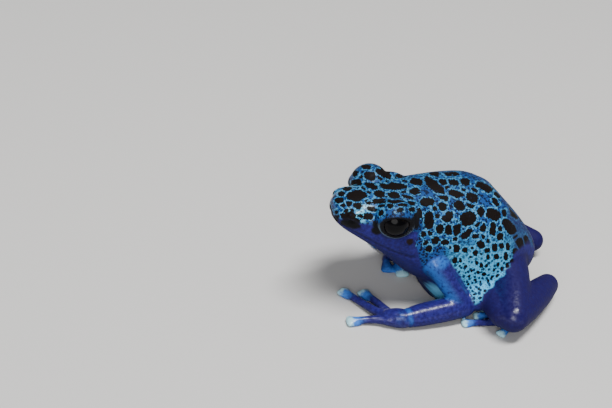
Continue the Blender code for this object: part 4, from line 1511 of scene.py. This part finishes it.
@dataclass(frozen=True)
class SkinFinish:
    """The moist skin: dark spots ringed with pale blue on the back, deep blue limbs and pale discs.

    Attributes:
        roughness: the roughness of wet skin, before its grain.
        dry: how much rougher dry skin is.
        matt: the roughness of the dark spots and lines.
        gloss: the most clear coat that wet skin has.
        grain_scale: the fine noise's lumps for each metre.
        bumps: the granules' cells for each metre, coarse and fine, with their shares of the height.
        bump_reach: how high the granules stand, in metres.
        ragged_scale: the cells for each metre that roughen the spots' edges.
        speck_scale: the dark specks of the back for each metre.
        pepper_scale: the finer dark specks, which lie in clumps.
        fleck_scale: the light flecks of the limbs for each metre.
        dots: the flank's small and large dots for each metre.
        slant: the two directions that the flank's dots are laid out along.
    """

    spot: Triple = (0.0035, 0.0016, 0.0013)
    ring: Triple = (0.058, 0.28, 0.52)
    dull_ring: Triple = (0.013, 0.09, 0.28)
    ground: Triple = (0.009, 0.06, 0.23)
    crown: Triple = (0.005, 0.025, 0.08)
    # painted highlight laid on the snout's ridges
    glow: Triple = (0.11, 0.5, 0.72)
    speck: Triple = (0.002, 0.004, 0.02)
    flank: Triple = (0.06, 0.4, 0.7)
    dot: Triple = (0.003, 0.025, 0.07)
    # the rump's dark blue: partly its own colour, partly painted shade
    rump: Triple = (0.008, 0.01, 0.075)
    deep: Triple = (0.012, 0.0085, 0.088)
    deep_light: Triple = (0.018, 0.015, 0.15)
    fleck: Triple = (0.024, 0.03, 0.24)
    # the legs' darker blue: partly their own colour, partly painted shade
    leg: Triple = (0.008, 0.004, 0.052)
    # pale blue of shoulder, inner arm and wrist, partly painted highlight
    sky: Triple = (0.02, 0.14, 0.5)
    # painted shade for the skin that faces down
    under: Triple = (0.004, 0.006, 0.05)
    # the chest patch: its own pale blue, brightened as painted light
    chest: Triple = (0.16, 0.5, 0.78)
    pad: Triple = (0.38, 0.66, 0.76)
    pad_root: Triple = (0.04, 0.16, 0.55)
    # painted shade for the mouth's groove and the nostrils' pits, and the dark of the face's patches
    dark: Triple = (0.003, 0.003, 0.0045)
    lid: Triple = (0.08, 0.12, 0.17)
    ear: Triple = (0.009, 0.0035, 0.003)
    roughness: float = 0.2
    dry: float = 0.36
    matt: float = 0.75
    gloss: float = 0.95
    grain_scale: float = 2200.0
    bumps: tuple[tuple[float, float], ...] = ((2300.0, 0.6), (5200.0, 0.3))
    bump_reach: float = 0.00008
    ragged_scale: float = 3600.0
    speck_scale: float = 2200.0
    pepper_scale: float = 3100.0
    fleck_scale: float = 3800.0
    dots: tuple[float, float] = (2700.0, 1350.0)
    slant: tuple[tuple[str, Triple], ...] = (("X", (0.4, 0.92, 0.0)), ("Y", (-0.46, 0.2, 0.87)))

    def dress(self, piece: Piece) -> None:
        """Make the material and give it to the piece."""
        nodes, shader = material(piece, "moist_skin")
        noise = nodes.add("TexNoise", {"Vector": nodes.place(), "Scale": self.grain_scale, "Detail": 4.0})
        grain = Signal(nodes, noise.outputs["Fac"])
        wet = nodes.read("wet")
        matt = nodes.step(nodes.read("spot"), -0.15, 0.05) * nodes.read("back")
        matt = nodes.maths("MAXIMUM", matt, nodes.read("dark"))
        rough = grain * 0.24 + ((1.0 - wet) * self.dry + self.roughness)
        tops = nodes.step(grain, 0.42, 0.6) * 0.8 + 0.2
        coarse, fine = (granules(nodes, scale)["Height"] * share for scale, share in self.bumps)
        height = (coarse + fine) * (1.0 - nodes.read("under") * 0.8)
        bump = nodes.add("Bump", {"Strength": 0.6, "Distance": self.bump_reach, "Height": height})
        nodes.fill(shader, {
            "Base Color": self.colour(nodes, grain),
            "Roughness": nodes.maths("MAXIMUM", rough, matt * self.matt),
            "IOR": 1.23,
            "Normal": bump.outputs["Normal"],
            "Coat Weight": wet * self.gloss * (1.0 - matt * 0.94) * tops,
            "Coat Roughness": 0.24,
            "Coat IOR": 1.42,
        })

    def colour(self, nodes: Nodes, grain: Signal) -> Signal:
        """The colour of the whole skin.

        Args:
            nodes: the material's tree.
            grain: a fine noise.

        Returns:
            The colour.
        """
        colour = nodes.mix(nodes.read("back"), self.limb_colour(nodes, grain), self.back_colour(nodes, grain))
        # painted shade where the skin faces down
        colour = nodes.mix(nodes.read("under") * 0.7, colour, self.under)
        # chest patch brightened as painted light; dark adds painted shade in mouth and nostrils
        for name in ("chest", "ear", "dark", "lid"):
            colour = nodes.mix(nodes.read(name), colour, getattr(self, name))
        pad = nodes.read("pad") + (grain - 0.5) * 0.5
        colour = nodes.mix(nodes.step(pad, 0.05, 0.65), colour, self.pad_root)
        return nodes.mix(nodes.step(pad, 0.64, 0.96), colour, self.pad)

    def back_colour(self, nodes: Nodes, grain: Signal) -> Signal:
        """The back's ground with its specks, pale rings and dark spots.

        Args:
            nodes: the material's tree.
            grain: a fine noise.

        Returns:
            The colour.
        """
        low, spot = nodes.read("low"), nodes.read("spot")
        high = 1.0 - low
        ragged = (granules(nodes, self.ragged_scale)["Height"] - 0.55) * 0.3 + (grain - 0.5) * 0.34
        edge = spot + ragged * (1.0 - low * 0.65) - low * 0.07
        ring = nodes.mix(nodes.step(grain, 0.4, 0.56), self.dull_ring, self.ring)
        ring = nodes.mix(low, ring, self.flank)
        ground = nodes.mix(low, self.ground, self.flank)
        ground = nodes.mix(granules(nodes, self.speck_scale, 0.5)["Mask"] * high, ground, self.speck)
        colour = nodes.mix(nodes.step(spot + grain * 0.5, 0.09, -0.03), ring, ground)
        colour = nodes.mix(nodes.read("crown") * 0.3, colour, self.crown)
        # painted highlight along the snout's ridges
        colour = nodes.mix(nodes.read("shine") * nodes.step(grain, 0.35, 0.6), colour, self.glow)
        pepper = granules(nodes, self.pepper_scale, 0.42)["Mask"] * nodes.step(grain, 0.56, 0.46)
        colour = nodes.mix(pepper * high, colour, self.speck)
        small, large = (self.flat_dots(nodes, grain, scale) for scale in self.dots)
        colour = nodes.mix(nodes.maths("MAXIMUM", large, small * 0.6) * low, colour, self.dot)
        # the rump darkened: partly its own colour, partly painted shade
        colour = nodes.mix(nodes.read("rump") * 0.86, colour, self.rump)
        return nodes.mix(nodes.step(edge, -0.12, -0.05), colour, self.spot)

    def flat_dots(self, nodes: Nodes, grain: Signal, scale: float) -> Signal:
        """A mask of small round dots of uneven size, spread over the flanks.

        Args:
            nodes: the material's tree.
            grain: a fine noise, which roughens their edges.
            scale: how many of them fit in a metre.

        Returns:
            The mask.
        """
        x, y, z = (Signal(nodes, output) for output in nodes.add("SeparateXYZ", {0: nodes.place()}).outputs)
        out = nodes.maths("ABSOLUTE", x)
        sums = {axis: out * across + y * ahead + z * upward for axis, (across, ahead, upward) in self.slant}
        laid = {"Vector": nodes.add("CombineXYZ", sums).outputs[0], "Scale": scale, "Randomness": 0.8}
        cells = nodes.add("TexVoronoi", laid, feature="F1", voronoi_dimensions="2D")
        lot = Signal(nodes, nodes.add("SeparateXYZ", {0: cells.outputs["Color"]}).outputs["X"])
        reach = Signal(nodes, cells.outputs["Distance"]) + lot * 0.14
        return nodes.step(reach + (grain - 0.5) * 0.35, 0.4, 0.3)

    def limb_colour(self, nodes: Nodes, grain: Signal) -> Signal:
        """The deep blue of limbs and jaw, lighter in places and finely specked.

        Args:
            nodes: the material's tree.
            grain: a fine noise.

        Returns:
            The colour.
        """
        colour = nodes.mix(nodes.step(grain, 0.35, 0.65), self.deep, self.deep_light)
        colour = nodes.mix(granules(nodes, self.fleck_scale, 0.36)["Mask"] * 0.25, colour, self.fleck)
        # the legs' darker blue: partly their own colour, partly painted shade
        colour = nodes.mix(nodes.read("leg") * 0.75, colour, self.leg)
        # pale blue of shoulder, inner arm and wrist, partly painted highlight
        return nodes.mix(nodes.read("sky") * nodes.step(grain, 0.2, 0.55), colour, self.sky)


@dataclass(frozen=True)
class EyeFinish:
    """The eye: black pupil in a brown-black iris under a wet clear coat."""

    iris: Triple = (0.0024, 0.002, 0.003)
    fleck: Triple = (0.006, 0.0045, 0.004)
    pupil: Triple = (0.001, 0.001, 0.0016)
    edge: Triple = (0.0022, 0.0022, 0.0034)

    def dress(self, piece: Piece) -> None:
        """Make the material and give it to the piece."""
        nodes, shader = material(piece, "wet_eye")
        iris = nodes.mix(granules(nodes, 2400.0)["Mask"], self.iris, self.fleck)
        colour = nodes.mix(nodes.step(nodes.read("iris"), 0.78, 0.84), iris, self.edge)
        colour = nodes.mix(nodes.step(nodes.read("pupil"), 1.03, 0.97), colour, self.pupil)
        coat = {"Coat Weight": 0.08, "Coat Roughness": 0.03}
        nodes.fill(shader, {"Base Color": colour, "Roughness": 0.2, "Specular IOR Level": 0.06, **coat})


# The studio


@dataclass(frozen=True)
class Lamp:
    """An oval soft lamp that points at the frog: its name, place, watts, and length and width, in metres."""

    name: str
    place: Triple
    power: float
    size: tuple[float, float]
    target: Triple = (0.0, 0.0, 0.01)

    def build(self) -> None:
        """Hang the lamp."""
        deselect()
        bpy.ops.object.light_add(type="AREA", location=self.place)
        lamp = bpy.context.object
        lamp.name = self.name
        lamp.data.energy = self.power
        lamp.data.shape = "ELLIPSE"
        lamp.data.size, lamp.data.size_y = self.size
        lamp.rotation_euler = (Vector(self.target) - Vector(self.place)).to_track_quat("-Z", "Y").to_euler()


@dataclass
class Studio:
    """A plain pale floor, a pale surround and soft lamps."""

    floor_size: float = 3.0
    floor_drop: float = 0.00002
    floor_colour: Triple = (0.6, 0.59, 0.575)
    lamps: tuple[Lamp, ...] = (
        Lamp("key_lamp", (0.10, 0.02, 0.48), 3.6, (0.34, 0.09)),
        Lamp("fill_lamp", (0.50, -0.30, 0.30), 2.4, (0.5, 0.4)),
    )
    surround: Triple = (0.86, 0.88, 0.9)
    surround_strength: float = 0.2

    def floor(self) -> None:
        """Lay the floor, a plain pale sheet just under the frog."""
        deselect()
        bpy.ops.mesh.primitive_plane_add(size=self.floor_size, location=(0.0, 0.0, 0.0))
        floor = bpy.context.object
        floor.name = "studio_floor"
        set_vertices(floor, vertices(floor) - (0.0, 0.0, self.floor_drop))
        nodes, shader = material(floor, "studio_floor")
        nodes.fill(shader, {"Base Color": self.floor_colour, "Roughness": 0.8})

    def build(self) -> None:
        """Lay the floor, hang the lamps and light the surround."""
        self.floor()
        for lamp in self.lamps:
            lamp.build()
        world = bpy.data.worlds.new("studio")
        bpy.context.scene.world = world
        world.use_nodes = True
        light = world.node_tree.nodes["Background"]
        Nodes(world.node_tree).fill(light, {"Color": self.surround, "Strength": self.surround_strength})


def main() -> None:
    """Build the frog and the studio round it."""
    logging.basicConfig(level=logging.INFO, format="%(name)s: %(message)s")
    skin = Skin(Trunk(), (LEFT_ARM, RIGHT_ARM), (LEFT_LEG, RIGHT_LEG))
    skin.build()
    for side in Side:
        Eye(side, skin).build()
    Studio().build()
    PhotoCamera().build()


if __name__ == "__main__":
    main()
